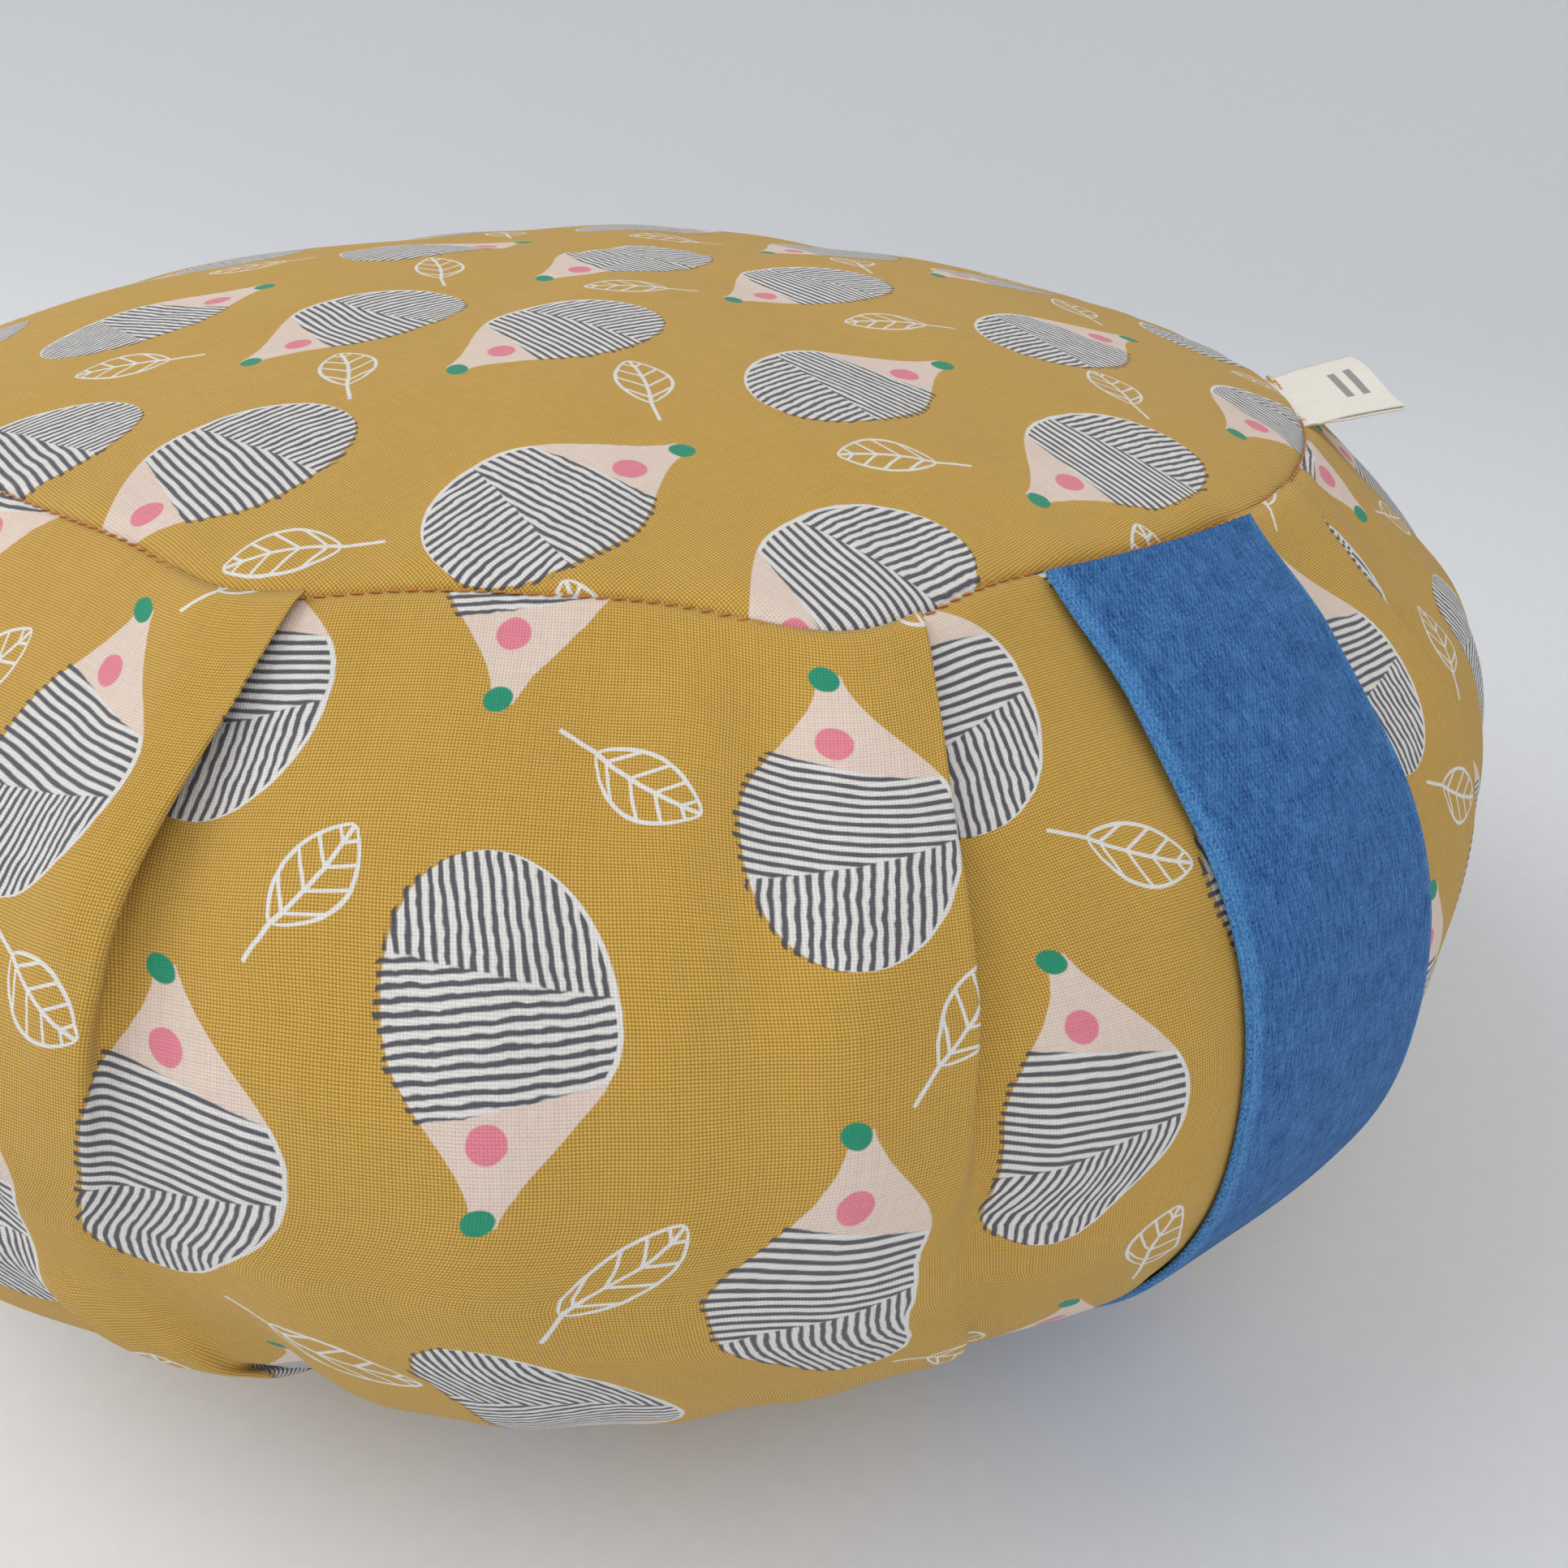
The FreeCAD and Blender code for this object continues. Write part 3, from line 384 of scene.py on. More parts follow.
def side_rows():
    """Angle, cloth length round the band and offset of every point of the band, row by row."""
    rows_v = np.linspace(0, SIDE_LENGTH, SIDE_ROWS)
    edges = np.radians([pleat[0] for pleat in PLEATS])
    drifts = np.radians([pleat[1] for pleat in PLEATS])
    count = len(PLEATS)
    widths = np.diff(np.append(edges, edges[0] + 2 * pi))
    all_theta, all_u, all_offset = [], [], []
    for v in rows_v:
        r = float(side_section(v)[0])
        middle = sin(pi * min(v / (104 * MM), 1))
        from_seam = min(v, SIDE_LENGTH - v) / (SIDE_LENGTH / 2)
        ease = 0.17 + 0.83 * float(smooth(from_seam / (0.85 if v < SIDE_LENGTH / 2 else 0.6)))
        share = 1 - 0.38 * float(smooth(from_seam / 0.3))
        drop = float(pleat_step(np.array(v)))
        taken_up = float(smooth((v - 96 * MM) / (50 * MM))) if v > SIDE_LENGTH / 2 else 0.7
        here = edges + drifts * middle
        folds = []
        for index in range(count):
            depth = (EQUATOR_R - r) * widths[index] / 2 * taken_up + 0.12 * MM * (drop / (2 * MM)) ** 2
            folds.append(solve_fold(depth, drop, ease))
        theta, u, offset = [], [], []
        for index in range(count):
            half, x, y = folds[index]
            edge_u = EQUATOR_R * edges[index] - EDGE_SHIFT
            fine_theta = here[index] + (x - x.max()) / r
            theta.append(np.interp(FOLD_PLACES, FINE, fine_theta))
            u.append(edge_u + (FOLD_PLACES + 1) * half)
            offset.append(np.interp(FOLD_PLACES, FINE, y) + drop * share)
            following = (index + 1) % count
            turn = 2 * pi if following == 0 else 0.0
            next_x = folds[following][1]
            start, end = fine_theta[-1], here[following] + turn - next_x.max() / r
            part = np.linspace(0, 1, PANEL_STEPS + 1)[1:-1]
            place = start + (end - start) * part
            theta.append(place)
            panel_u = EQUATOR_R * (edges[following] + turn) - EDGE_SHIFT - edge_u - 2 * half
            u.append(edge_u + 2 * half + part * panel_u)
            after = 1 - smooth((place - start) * r / (18 * MM))
            before = 1 - smooth((end - place) * r / (28 * MM))
            puff = 2.2 * MM * float(smooth(from_seam / 0.6)) * (1 - (2 * part - 1) ** 2)
            offset.append(puff + drop * share * before - drop * (1 - share) * after)
        all_theta.append(np.concatenate(theta))
        all_u.append(np.concatenate(u))
        all_offset.append(np.concatenate(offset))
    return rows_v, np.array(all_theta), np.array(all_u), np.array(all_offset)


def zip_opening(theta):
    """One where the zip parts the bottom seam, falling to zero over a short way past its ends."""
    angle = np.degrees(theta) % 360
    return smooth((angle - ZIP_START + 1) / 1.5) * smooth((ZIP_END + 1 - angle) / 1.5)


def make_side_band():
    rows_v, theta, u, offset = side_rows()
    v = np.broadcast_to(rows_v[:, None], theta.shape)
    v = v * (1 - ZIP_GAP / SIDE_LENGTH * zip_opening(theta))
    r, z, normal_r, normal_z = side_section(v)
    near_top = 1 - ramp(v, 70)
    out, up = seam_shape(theta)
    from_seam = np.minimum(v, SIDE_LENGTH - v)
    offset = offset + lumps(theta, v, 1.0 * MM) * ramp(from_seam, 30)
    offset = offset + (creases(theta, v) + side_puffs(theta, v)) * ramp(from_seam, 7)
    puckers = np.sin(43 * theta + 2.0 * np.sin(5 * theta)) * fading(from_seam, 16)
    offset = offset + 0.45 * MM * puckers * ramp(from_seam, 6)
    from_strap = np.abs(wrapped(theta + pi / 2)) * r
    offset = np.minimum(offset, 1.5 * MM + 20 * MM * smooth((from_strap - 27 * MM) / (14 * MM)))
    closed = 1 - zip_opening(theta) * (v > SIDE_LENGTH / 2)
    offset = offset - 1.3 * MM * fading(from_seam, 1.8) * closed
    r = r + normal_r * offset + out * near_top - drawn_in(theta, z)
    z = z + normal_z * offset + up * near_top
    points = around(r, z, theta)
    start = FOLD_STEPS // 2
    columns = theta.shape[1]
    points = np.roll(points, -start, axis=1)
    total = 2 * pi * EQUATOR_R
    u = np.roll(u, -start, axis=1)
    u[:, columns - start:] += total
    faces = grid_faces(SIDE_ROWS, columns, closed=True)
    piece = make_piece("side_band_cloth", points.reshape(-1, 3), faces)
    map_grid(piece, faces, u, v, total)
    thicken(piece, CLOTH)
    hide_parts("side_band")
    return piece


# ---- round panels

def ring_shares(rings):
    """Share of the radius at each ring of a panel, from its rim inwards, a little closer at the rim."""
    share = np.linspace(1, 0, rings + 1)[:-1]
    return share + 0.12 * share * (1 - share)


def disc_points(rings, columns, radius_at, height_at):
    """Polar grid from the rim in to a small middle ring, and one middle point."""
    rho, angle = np.meshgrid(ring_shares(rings), all_round(columns), indexing="ij")
    r = radius_at(angle) * rho
    z = height_at(rho, angle)
    middle = (0.0, 0.0, float(np.mean(height_at(np.zeros(4), np.zeros(4)))))
    points = np.vstack((around(r, z, angle).reshape(-1, 3), middle))
    faces = [list(face) for face in grid_faces(rings, columns, closed=True)]
    hub = len(points) - 1
    last = (rings - 1) * columns
    faces += [(last + i, hub, last + (i + 1) % columns) for i in range(columns)]
    return points, faces


def plan_map(piece, seen_from):
    """Cloth coordinates of a flat-cut panel: its plan position, as seen from above (1) or below (-1)."""
    mesh = piece.data
    places = np.zeros(3 * len(mesh.vertices))
    mesh.vertices.foreach_get("co", places)
    corners = np.zeros(len(mesh.loops), int)
    mesh.loops.foreach_get("vertex_index", corners)
    set_cloth_map(piece, places.reshape(-1, 3)[corners][:, :2] * (1, -seen_from) / MM)


def make_panel(name, node, points, faces, seen_from):
    piece = make_piece(name, points, faces)
    plan_map(piece, seen_from)
    thicken(piece, CLOTH)
    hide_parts(node)
    return piece


def make_top_panel():
    def height_at(rho, theta):
        inward = (1 - rho) * SEAM_R
        uneven = lumps(theta, rho * 0.1, 0.8 * MM) * ramp(inward, 30) * smooth(rho / 0.3)
        valley = -1.4 * MM * fading(inward, 1.8)
        puckers = 0.4 * MM * np.sin(47 * theta + 1.5 * np.sin(4 * theta)) * fading(inward, 12)
        puckers = puckers * ramp(inward, 5)
        puffs = top_puffs(theta, 1 - rho) * ramp(inward, 7)
        return top_height(rho, theta) + uneven + valley + puckers + puffs

    points, faces = disc_points(72, 360, top_radius, height_at)
    return make_panel("top_panel_cloth", "top_panel", points, flipped(faces), 1)


def make_bottom_panel():
    curve = ((BOTTOM_R - FLAT_R) ** 2 + BOTTOM_Z ** 2) / (2 * BOTTOM_Z)

    def radius_at(theta):
        return BOTTOM_R - ZIP_GAP * zip_opening(theta)

    def height_at(rho, theta):
        past = np.maximum(rho * BOTTOM_R - FLAT_R, 0)
        base = curve - np.sqrt(np.maximum(curve ** 2 - past ** 2, 0))
        inward = (1 - rho) * BOTTOM_R
        valley = 1.2 * MM * fading(inward, 1.8) * (1 - zip_opening(theta))
        return base + valley + 0.05 * MM

    points, faces = disc_points(60, 300, radius_at, height_at)
    return make_panel("bottom_panel_cloth", "bottom_panel", points, faces, -1)


# ---- seam stitches

STITCH = 2.2 * MM
SEAM_TILT = radians(65)


def capsule_chain(name, middles, directions, normals, length, radius, body="cushion"):
    """One mesh of short rounded stitches, each a ring of sections along its own direction."""
    sides, sections = 6, 5
    around_angle = np.linspace(0, 2 * pi, sides, endpoint=False)
    along = np.linspace(-1, 1, sections)
    swell = np.sqrt(np.clip(1 - along ** 4, 0.05, 1))
    points, faces = [], []
    stitch_faces = grid_faces(sections, sides, closed=True)
    for middle, direction, normal in zip(middles, directions, normals):
        first = len(points)
        side = np.cross(direction, normal)
        for place, size in zip(along, swell):
            sag = normal * radius * 0.6 * (1 - place ** 2)
            for angle in around_angle:
                offset = (normal * sin(angle) + side * cos(angle)) * radius * size
                points.append(middle + direction * place * length / 2 + offset + sag)
        faces += [tuple(face + first) for face in stitch_faces]
        faces.append(tuple(first + i for i in range(sides)))
        faces.append(tuple(first + (sections - 1) * sides + i for i in reversed(range(sides))))
    return make_piece(name, points, faces, body)


def make_seam_stitches(name, node, start, end, place_at, pitch, tilt):
    """Stitches that lie in a seam's groove from one angle to another; place_at gives r, z at an angle."""
    count = int(round(radians(end - start) * SEAM_R / pitch))
    theta = np.radians(np.linspace(start, end, count, endpoint=False)) + 0.5 * pitch / SEAM_R
    r, z = place_at(theta)
    middles = around(r, z, theta)
    tangents = np.stack((-np.sin(theta), np.cos(theta), np.zeros(count)), -1)
    outward = np.stack((np.cos(theta), np.sin(theta), np.zeros(count)), -1)
    normals = outward * cos(tilt) + np.array((0, 0, 1.0)) * sin(tilt)
    across = np.cross(normals, tangents)
    lean = 0.14
    tangents = tangents * cos(lean) + across * sin(lean)
    piece = capsule_chain(name, middles, tangents, normals, 0.8 * pitch, 0.17 * MM)
    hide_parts(node)
    return piece


def top_groove(theta):
    out, up = seam_shape(theta)
    return SEAM_R + out - 0.2 * MM, SEAM_Z + up - 1.05 * MM


def bottom_groove(theta):
    return np.full_like(theta, BOTTOM_R - 0.2 * MM), np.full_like(theta, BOTTOM_Z + 0.9 * MM)


# ---- carry strap and label

def strap_line(s):
    """Radius and height along the strap from the top seam (0) to the bottom seam (1)."""
    v = s * SIDE_LENGTH
    r, z, normal_r, normal_z = side_section(v)
    ends = smooth(np.minimum(s, 1 - s) / 0.12)
    stand = 0.4 * MM + 2.4 * MM * ends
    return r + normal_r * stand, z + normal_z * stand, normal_r, normal_z


def lengths_along(path):
    """Length from the start of a path to each of its points."""
    return np.concatenate(([0], np.cumsum(np.hypot(*np.diff(path, axis=0).T))))


def make_strap():
    """Denim tube pressed flat: an outer and an inner layer that join in rounded folded edges."""
    rows = 110
    half_width, half_thick = STRAP_WIDTH / 2, 0.6 * MM
    across = np.linspace(-1, 1, 27)
    flat_part = half_width - half_thick
    edge_angles = np.linspace(pi / 2, -pi / 2, 7)[1:-1]
    section = [(x * flat_part, half_thick) for x in across]
    section += [(flat_part + half_thick * cos(a), half_thick * sin(a)) for a in edge_angles]
    section += [(-x * flat_part, -half_thick) for x in across]
    section += [(-flat_part - half_thick * cos(a), -half_thick * sin(a)) for a in edge_angles]
    section = np.array(section)
    cloth_x = lengths_along(section)
    s = np.linspace(0, 1, rows)
    r, z, normal_r, normal_z = strap_line(s)
    r = r - drawn_in(radians(-90), z)
    points = []
    for index in range(rows):
        sway = -1.5 * MM * sin(pi * s[index]) - 3.0 * MM * smooth((s[index] - 0.35) / 0.6)
        narrow = 1 - 0.02 * sin(pi * s[index])
        x = section[:, 0] * narrow
        ripple = 0.25 * MM * np.sin(x / (7 * MM) + 9 * s[index]) * sin(pi * s[index])
        lift = section[:, 1] + ripple
        local_r = r[index] + lift * normal_r[index]
        drop_back = 1 - np.cos(np.clip(x / r[index], -1, 1))
        y = -(local_r * (1 - 0.75 * drop_back))
        points.append(np.stack((x + sway, y, np.full_like(x, z[index]) + lift * normal_z[index]), -1))
    points = np.array(points)
    columns = section.shape[0]
    faces = grid_faces(rows, columns, closed=True)
    piece = make_piece("carry_strap_denim", points.reshape(-1, 3), faces, None)
    map_grid(piece, faces, *np.meshgrid(cloth_x, s * SIDE_LENGTH), 2 * STRAP_WIDTH)
    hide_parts("handle_strap")
    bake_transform(piece)
    return piece


def make_label():
    """Cotton tape folded in two, with both ends caught in the top seam."""
    length, reach, thick, caught = 37 * MM, 18 * MM, 0.45 * MM, 2.8 * MM
    angle, lift = radians(-43), radians(18)
    outward = np.array((cos(angle), sin(angle), 0))
    tangent = np.array((-sin(angle), cos(angle), 0))
    run = outward * cos(lift) + np.array((0, 0, 1)) * sin(lift)
    normal = -outward * sin(lift) + np.array((0, 0, 1)) * cos(lift)
    root = outward * (SEAM_R - caught) + np.array((0, 0, SEAM_Z - 0.9 * MM))
    along = np.linspace(0, 1, 16)
    fold_angles = np.linspace(-pi / 2, pi / 2, 9)[1:-1]
    gap = 0.35 * MM
    path = [(x * reach, -gap * smooth(3 * x - 0.4)) for x in along]
    path += [(reach + gap * cos(a), gap * sin(a)) for a in fold_angles]
    path += [(x * reach, gap * smooth(3 * x - 0.4)) for x in along[::-1]]
    path = np.array(path)
    cloth_y = lengths_along(path)
    across = np.linspace(-0.5, 0.5, 25)
    points = []
    for x, y in path:
        for place in across:
            curl = 0.8 * MM * (x / reach) ** 2 * sin(5 * place + 0.4)
            points.append(root + run * x + normal * (y + curl) + tangent * place * length)
    faces = grid_faces(len(path), len(across))
    piece = make_piece("folded_label", points, faces, "label")
    map_grid(piece, faces, *np.meshgrid(across * length, cloth_y))
    thicken(piece, thick, 0.0)
    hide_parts("label_tab")
    return piece


# ---- inner cushion

def inner_form(depth):
    """Section of the inner cushion at a depth under the cover, from the middle of the top to the base."""
    v = np.linspace(0, SIDE_LENGTH, 60)
    r, z, normal_r, normal_z = side_section(v)
    side = np.stack((r - normal_r * depth, z - normal_z * depth), -1)
    side = side[(side[:, 1] < SEAM_Z - depth) & (side[:, 1] > BOTTOM_Z + 0.3 * depth)]
    top_r = np.linspace(0.02, 1, 30) * side[0, 0]
    crown = CROWN_Z - depth - 1.5 * MM
    top = np.stack((top_r, crown - (crown - side[0, 1]) * (top_r / side[0, 0]) ** 2.3), -1)
    base_r = np.linspace(1, 0.02, 30) * side[-1, 0]
    past = np.clip((base_r - FLAT_R) / (side[-1, 0] - FLAT_R), 0, 1)
    base = np.stack((base_r, depth + (side[-1, 1] - depth) * past ** 2), -1)
    return top, side, base


def make_turned(name, section, columns, ripple=0.0):
    """Sheet turned about the upright axis from a section of r, z points."""
    r, angle = np.meshgrid(section[:, 0], all_round(columns), indexing="ij")
    z = np.broadcast_to(section[:, 1][:, None], r.shape)
    ends = np.minimum(np.arange(len(section)), np.arange(len(section))[::-1]) / len(section)
    r = r + ripple * np.sin(61 * angle) * np.exp(-ends * 18)[:, None] * ramp(r, 60)
    r = r - drawn_in(angle, z) * smooth((r - FLAT_R) / (45 * MM))
    faces = grid_faces(len(section), columns, closed=True)
    return make_piece(name, around(r, z, angle).reshape(-1, 3), faces)


def close_hole(piece, ring, reverse=False):
    """Close the small round hole left in the middle of a turned panel."""
    mesh = piece.data
    work = bmesh.new()
    work.from_mesh(mesh)
    work.verts.ensure_lookup_table()
    hole = [work.verts[i] for i in ring]
    face = work.faces.new(hole[::-1] if reverse else hole)
    face.smooth = True
    work.to_mesh(mesh)
    work.free()


def make_inner_cushion():
    depth = 6.0 * MM
    top, side, base = inner_form(depth)
    columns = 240
    liner_top = make_turned("liner_top_cloth", top, columns, 0.3 * MM)
    close_hole(liner_top, range(columns))
    liner_side = make_turned("liner_side_cloth", side, columns, 0.5 * MM)
    liner_bottom = make_turned("liner_bottom_cloth", base, columns, 0.3 * MM)
    close_hole(liner_bottom, range((len(base) - 1) * columns, len(base) * columns), reverse=True)
    lengths = np.hypot(*np.diff(side, axis=0).T).sum()
    widest = 2 * pi * side[:, 0].max()
    for piece, node, flat, area in (
            (liner_top, "liner_top", (2 * top[-1, 0],) * 2, pi * top[-1, 0] ** 2),
            (liner_side, "liner_side", (lengths, widest), None),
            (liner_bottom, "liner_bottom", (2 * base[0, 0],) * 2, pi * base[0, 0] ** 2)):
        thicken(piece, 0.3 * MM)
        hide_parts(node)
    threads = []
    for name, node, end in (("liner_top_seam_stitches", "liner_top_seam_thread", side[0]),
                            ("liner_bottom_seam_stitches", "liner_bottom_seam_thread", side[-1])):
        threads.append(make_seam_stitches(
            name, node, -180, 180,
            lambda theta, end=end: (np.full_like(theta, end[0]), np.full_like(theta, end[1])), 2.6 * MM, 0.8))
    core = np.vstack(inner_form(depth + 0.8 * MM))
    filling = make_turned("hull_filling_form", core, columns)
    close_hole(filling, range(columns))
    close_hole(filling, range((len(core) - 1) * columns, len(core) * columns), reverse=True)
    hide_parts("hull_filling")
    return [liner_top, liner_side, liner_bottom], threads, filling


# ---- zip

def make_coils():
    """Coil teeth of both sides of the zip, each of them one wire wound into a helix."""
    coils = []
    wire, pitch, per_turn = 0.22 * MM, 1.1 * MM, 10
    for side in ("upper", "lower"):
        low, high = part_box("zip_coil_" + side)
        turn = (high.z - low.z) / 2 - wire
        ring_r = high.y - turn - wire
        count = int(radians(ZIP_END - ZIP_START - 4) * ring_r / pitch)
        steps = np.arange(count * per_turn)
        theta = np.radians(ZIP_START + 2) + steps / per_turn * pitch / ring_r
        phase = 2 * pi * steps / per_turn
        places = around(ring_r + turn * np.cos(phase), (low.z + high.z) / 2 + turn * np.sin(phase), theta)
        curve = adjust(bpy.data.curves.new("zip_coil_wire_" + side, "CURVE"), dimensions="3D",
                       bevel_depth=wire, bevel_resolution=1)
        spline = curve.splines.new("POLY")
        spline.points.add(len(steps) - 1)
        spline.points.foreach_set("co", np.concatenate((places, np.ones((len(steps), 1))), 1).ravel())
        mesh = bpy.data.meshes.new_from_object(bpy.data.objects.new("zip_coil_line", curve))
        coil = link("zip_coil_wire_" + side, mesh)
        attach(coil, "cushion")
        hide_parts("zip_coil_" + side)
        coils.append(coil)
    return coils


# ---- shader helpers

class Number:
    """A value inside a shader. Arithmetic on these adds Math nodes to the tree."""

    def __init__(self, tree, source):
        self.tree, self.source = tree, source

    def node(self, operation, *others, clamp=False):
        math_node = self.tree.nodes.new("ShaderNodeMath")
        math_node.operation = operation
        math_node.use_clamp = clamp
        for index, item in enumerate((self,) + others):
            source = item.source if isinstance(item, Number) else item
            if isinstance(source, (int, float)):
                math_node.inputs[index].default_value = source
            else:
                self.tree.links.new(source, math_node.inputs[index])
        return Number(self.tree, math_node.outputs[0])

    def __rsub__(self, other):
        return Number(self.tree, other).node("SUBTRACT", self)

    def clamped(self):
        return self.node("ADD", 0.0, clamp=True)

    def below(self, edge, blur):
        """One where the value is under the edge, zero above it, with a short ramp between."""
        return ((edge - self) / blur + 0.5).clamped()


def operation(kind):
    """Method that adds a Math node of one kind."""
    def method(self, *others):
        return self.node(kind, *others)

    return method


for method_name, kind in (("__add__", "ADD"), ("__radd__", "ADD"), ("__sub__", "SUBTRACT"),
                          ("__mul__", "MULTIPLY"), ("__rmul__", "MULTIPLY"), ("__truediv__", "DIVIDE"),
                          ("floor", "FLOOR"), ("abs", "ABSOLUTE"), ("sin", "SINE"), ("cos", "COSINE"),
                          ("sqrt", "SQRT"), ("power", "POWER"), ("least", "MINIMUM"),
                          ("most", "MAXIMUM"), ("modulo", "FLOORED_MODULO")):
    setattr(Number, method_name, operation(kind))


def set_inputs(node, values):
    for name, value in values.items():
        node.inputs[name].default_value = value


class Shader:
    """Node material with one Principled shader, and short calls for what the cloths need."""

    def __init__(self, name):
        self.material = bpy.data.materials.new(name)
        self.material.use_nodes = True
        self.tree = self.material.node_tree
        self.shader = self.tree.nodes["Principled BSDF"]

    def add(self, kind, **settings):
        return adjust(self.tree.nodes.new(kind), **settings)

    def connect(self, source, target):
        self.tree.links.new(source.source if isinstance(source, Number) else source, target)

    def cloth_place(self):
        """The two cloth coordinates, in millimetres."""
        place = self.add("ShaderNodeUVMap", uv_map="cloth")
        parts = self.add("ShaderNodeSeparateXYZ")
        self.connect(place.outputs[0], parts.inputs[0])
        return Number(self.tree, parts.outputs[0]), Number(self.tree, parts.outputs[1])

    def object_place(self):
        return self.add("ShaderNodeTexCoord").outputs["Object"]

    def vector(self, x, y, z=0.0):
        joined = self.add("ShaderNodeCombineXYZ")
        for index, item in enumerate((x, y, z)):
            if isinstance(item, Number):
                self.connect(item, joined.inputs[index])
            else:
                joined.inputs[index].default_value = item
        return joined.outputs[0]

    def noise(self, place, scale, detail=2.0, roughness=0.5):
        """Noise that averages one half; a place is a socket, or a pair of numbers."""
        if isinstance(place, tuple):
            place = self.vector(*place)
        texture = self.add("ShaderNodeTexNoise")
        set_inputs(texture, {"Scale": scale, "Detail": detail, "Roughness": roughness})
        self.connect(place, texture.inputs["Vector"])
        return Number(self.tree, texture.outputs[0])

    def mix(self, share, first, second):
        """Colour between two colours; each is a socket or a linear RGB triple."""
        node = self.add("ShaderNodeMix", data_type="RGBA")
        self.connect(share, node.inputs["Factor"])
        for colour, socket in ((first, node.inputs[6]), (second, node.inputs[7])):
            if isinstance(colour, tuple):
                socket.default_value = (*colour, 1.0)
            else:
                self.connect(colour, socket)
        return node.outputs[2]

    def shade(self, colour, amount):
        """Colour made lighter or darker by a factor."""
        node = self.add("ShaderNodeMix", data_type="RGBA", blend_type="MULTIPLY")
        node.inputs["Factor"].default_value = 1.0
        self.connect(colour, node.inputs[6])
        self.connect(self.vector(amount, amount, amount), node.inputs[7])
        return node.outputs[2]

    def bump(self, height, distance, strength=1.0):
        node = self.add("ShaderNodeBump")
        set_inputs(node, {"Distance": distance, "Strength": strength})
        self.connect(height, node.inputs["Height"])
        self.connect(node.outputs[0], self.shader.inputs["Normal"])

    def finish(self, colour, roughness, sheen=0.0, metallic=0.0, specular=0.5):
        if isinstance(colour, tuple):
            self.shader.inputs["Base Color"].default_value = (*colour, 1.0)
        else:
            self.connect(colour, self.shader.inputs["Base Color"])
        set_inputs(self.shader, {"Roughness": roughness, "Metallic": metallic,
                                 "Specular IOR Level": specular, "Sheen Weight": sheen,
                                 "Sheen Roughness": 0.5})
        return self.material


def linear(red, green, blue):
    """Linear colour from the usual 0 to 255 values."""
    return tuple(((part / 255 + 0.055) / 1.055) ** 2.4 if part > 10 else part / 255 / 12.92
                 for part in (red, green, blue))


# ---- printed cotton

INK_WHITE = linear(226, 224, 220)
CHARCOAL = linear(74, 73, 82)
BEIGE = linear(226, 206, 192)
PINK = linear(226, 132, 148)
GREEN = linear(40, 146, 112)

COLUMN_PITCH, ROW_PITCH = 37.4, 60.0
MOTIF_LENGTH, MOTIF_WIDTH = 41.5, 26.5
SECOND_COLUMN, THIRD_COLUMN = 32.0, 16.0
SECOND_ASIDE = 4.0
LEAF_ASIDE, LEAF_BELOW = 15.5, 29.0
HATCH_PITCH = 1.42


def plain_weave(shader, x, y, pitch):
    """Height of a plain weave: warp and weft threads that pass over each other in turn."""
    drift = (shader.noise((x, y), 0.05, 1) - 0.5) * 1.2
    warp, weft = ((x + drift) * (pi / pitch)).sin(), ((y - drift) * (pi / pitch)).sin()
    over = (warp * weft * 4.0 + 0.5).clamped()
    warp_top = warp.abs() * (weft.abs() * 0.35 + 0.65)
    weft_top = weft.abs() * (warp.abs() * 0.35 + 0.65)
    return warp_top * over + weft_top * (1.0 - over)


def leaf_mask(x, y, turned):
    """White line drawing of one leaf round the origin: outline, midrib, side veins and a stalk."""
    sine, cosine = turned.sin(), turned.cos()
    along, across = x * cosine + y * sine, y * cosine - x * sine
    blade, half, line = 15.0, 4.3, 0.58
    part = ((along + 5.5) / blade).clamped()
    width = (part * pi).sin().power(0.75) * half
    bend = (part - 0.5) * (part - 0.5) * 3.0
    aside = across + bend - 0.4
    inside = (aside.abs() - width).below(0.0, 0.15)
    edge = ((aside.abs() - width).abs() - line / 2).below(0.0, 0.15)
    on_blade = ((along + 5.5 - blade / 2).abs() - blade / 2).below(0.0, 0.1)
    slanted = (along - aside.abs() * 0.85 + 20.0).modulo(3.6) - 1.8
    veins = (slanted.abs() - line / 2).below(0.0, 0.15) * inside
    rib = (aside.abs() - line / 2).below(0.0, 0.15)
    stalk = rib * ((along + 7.0).abs() - 4.0).below(0.0, 0.2)
    return ((edge + veins + rib * inside) * on_blade + stalk).clamped()


def column_kind(index):
    """Which of the three kinds a column of the print is, and how far down its rows start."""
    kind = index.modulo(3.0)
    is_first = kind.below(0.5, 0.01)
    is_third = 1.0 - kind.below(1.5, 0.01)
    is_second = 1.0 - is_first - is_third
    return is_first, is_second, is_second * SECOND_COLUMN + is_third * THIRD_COLUMN


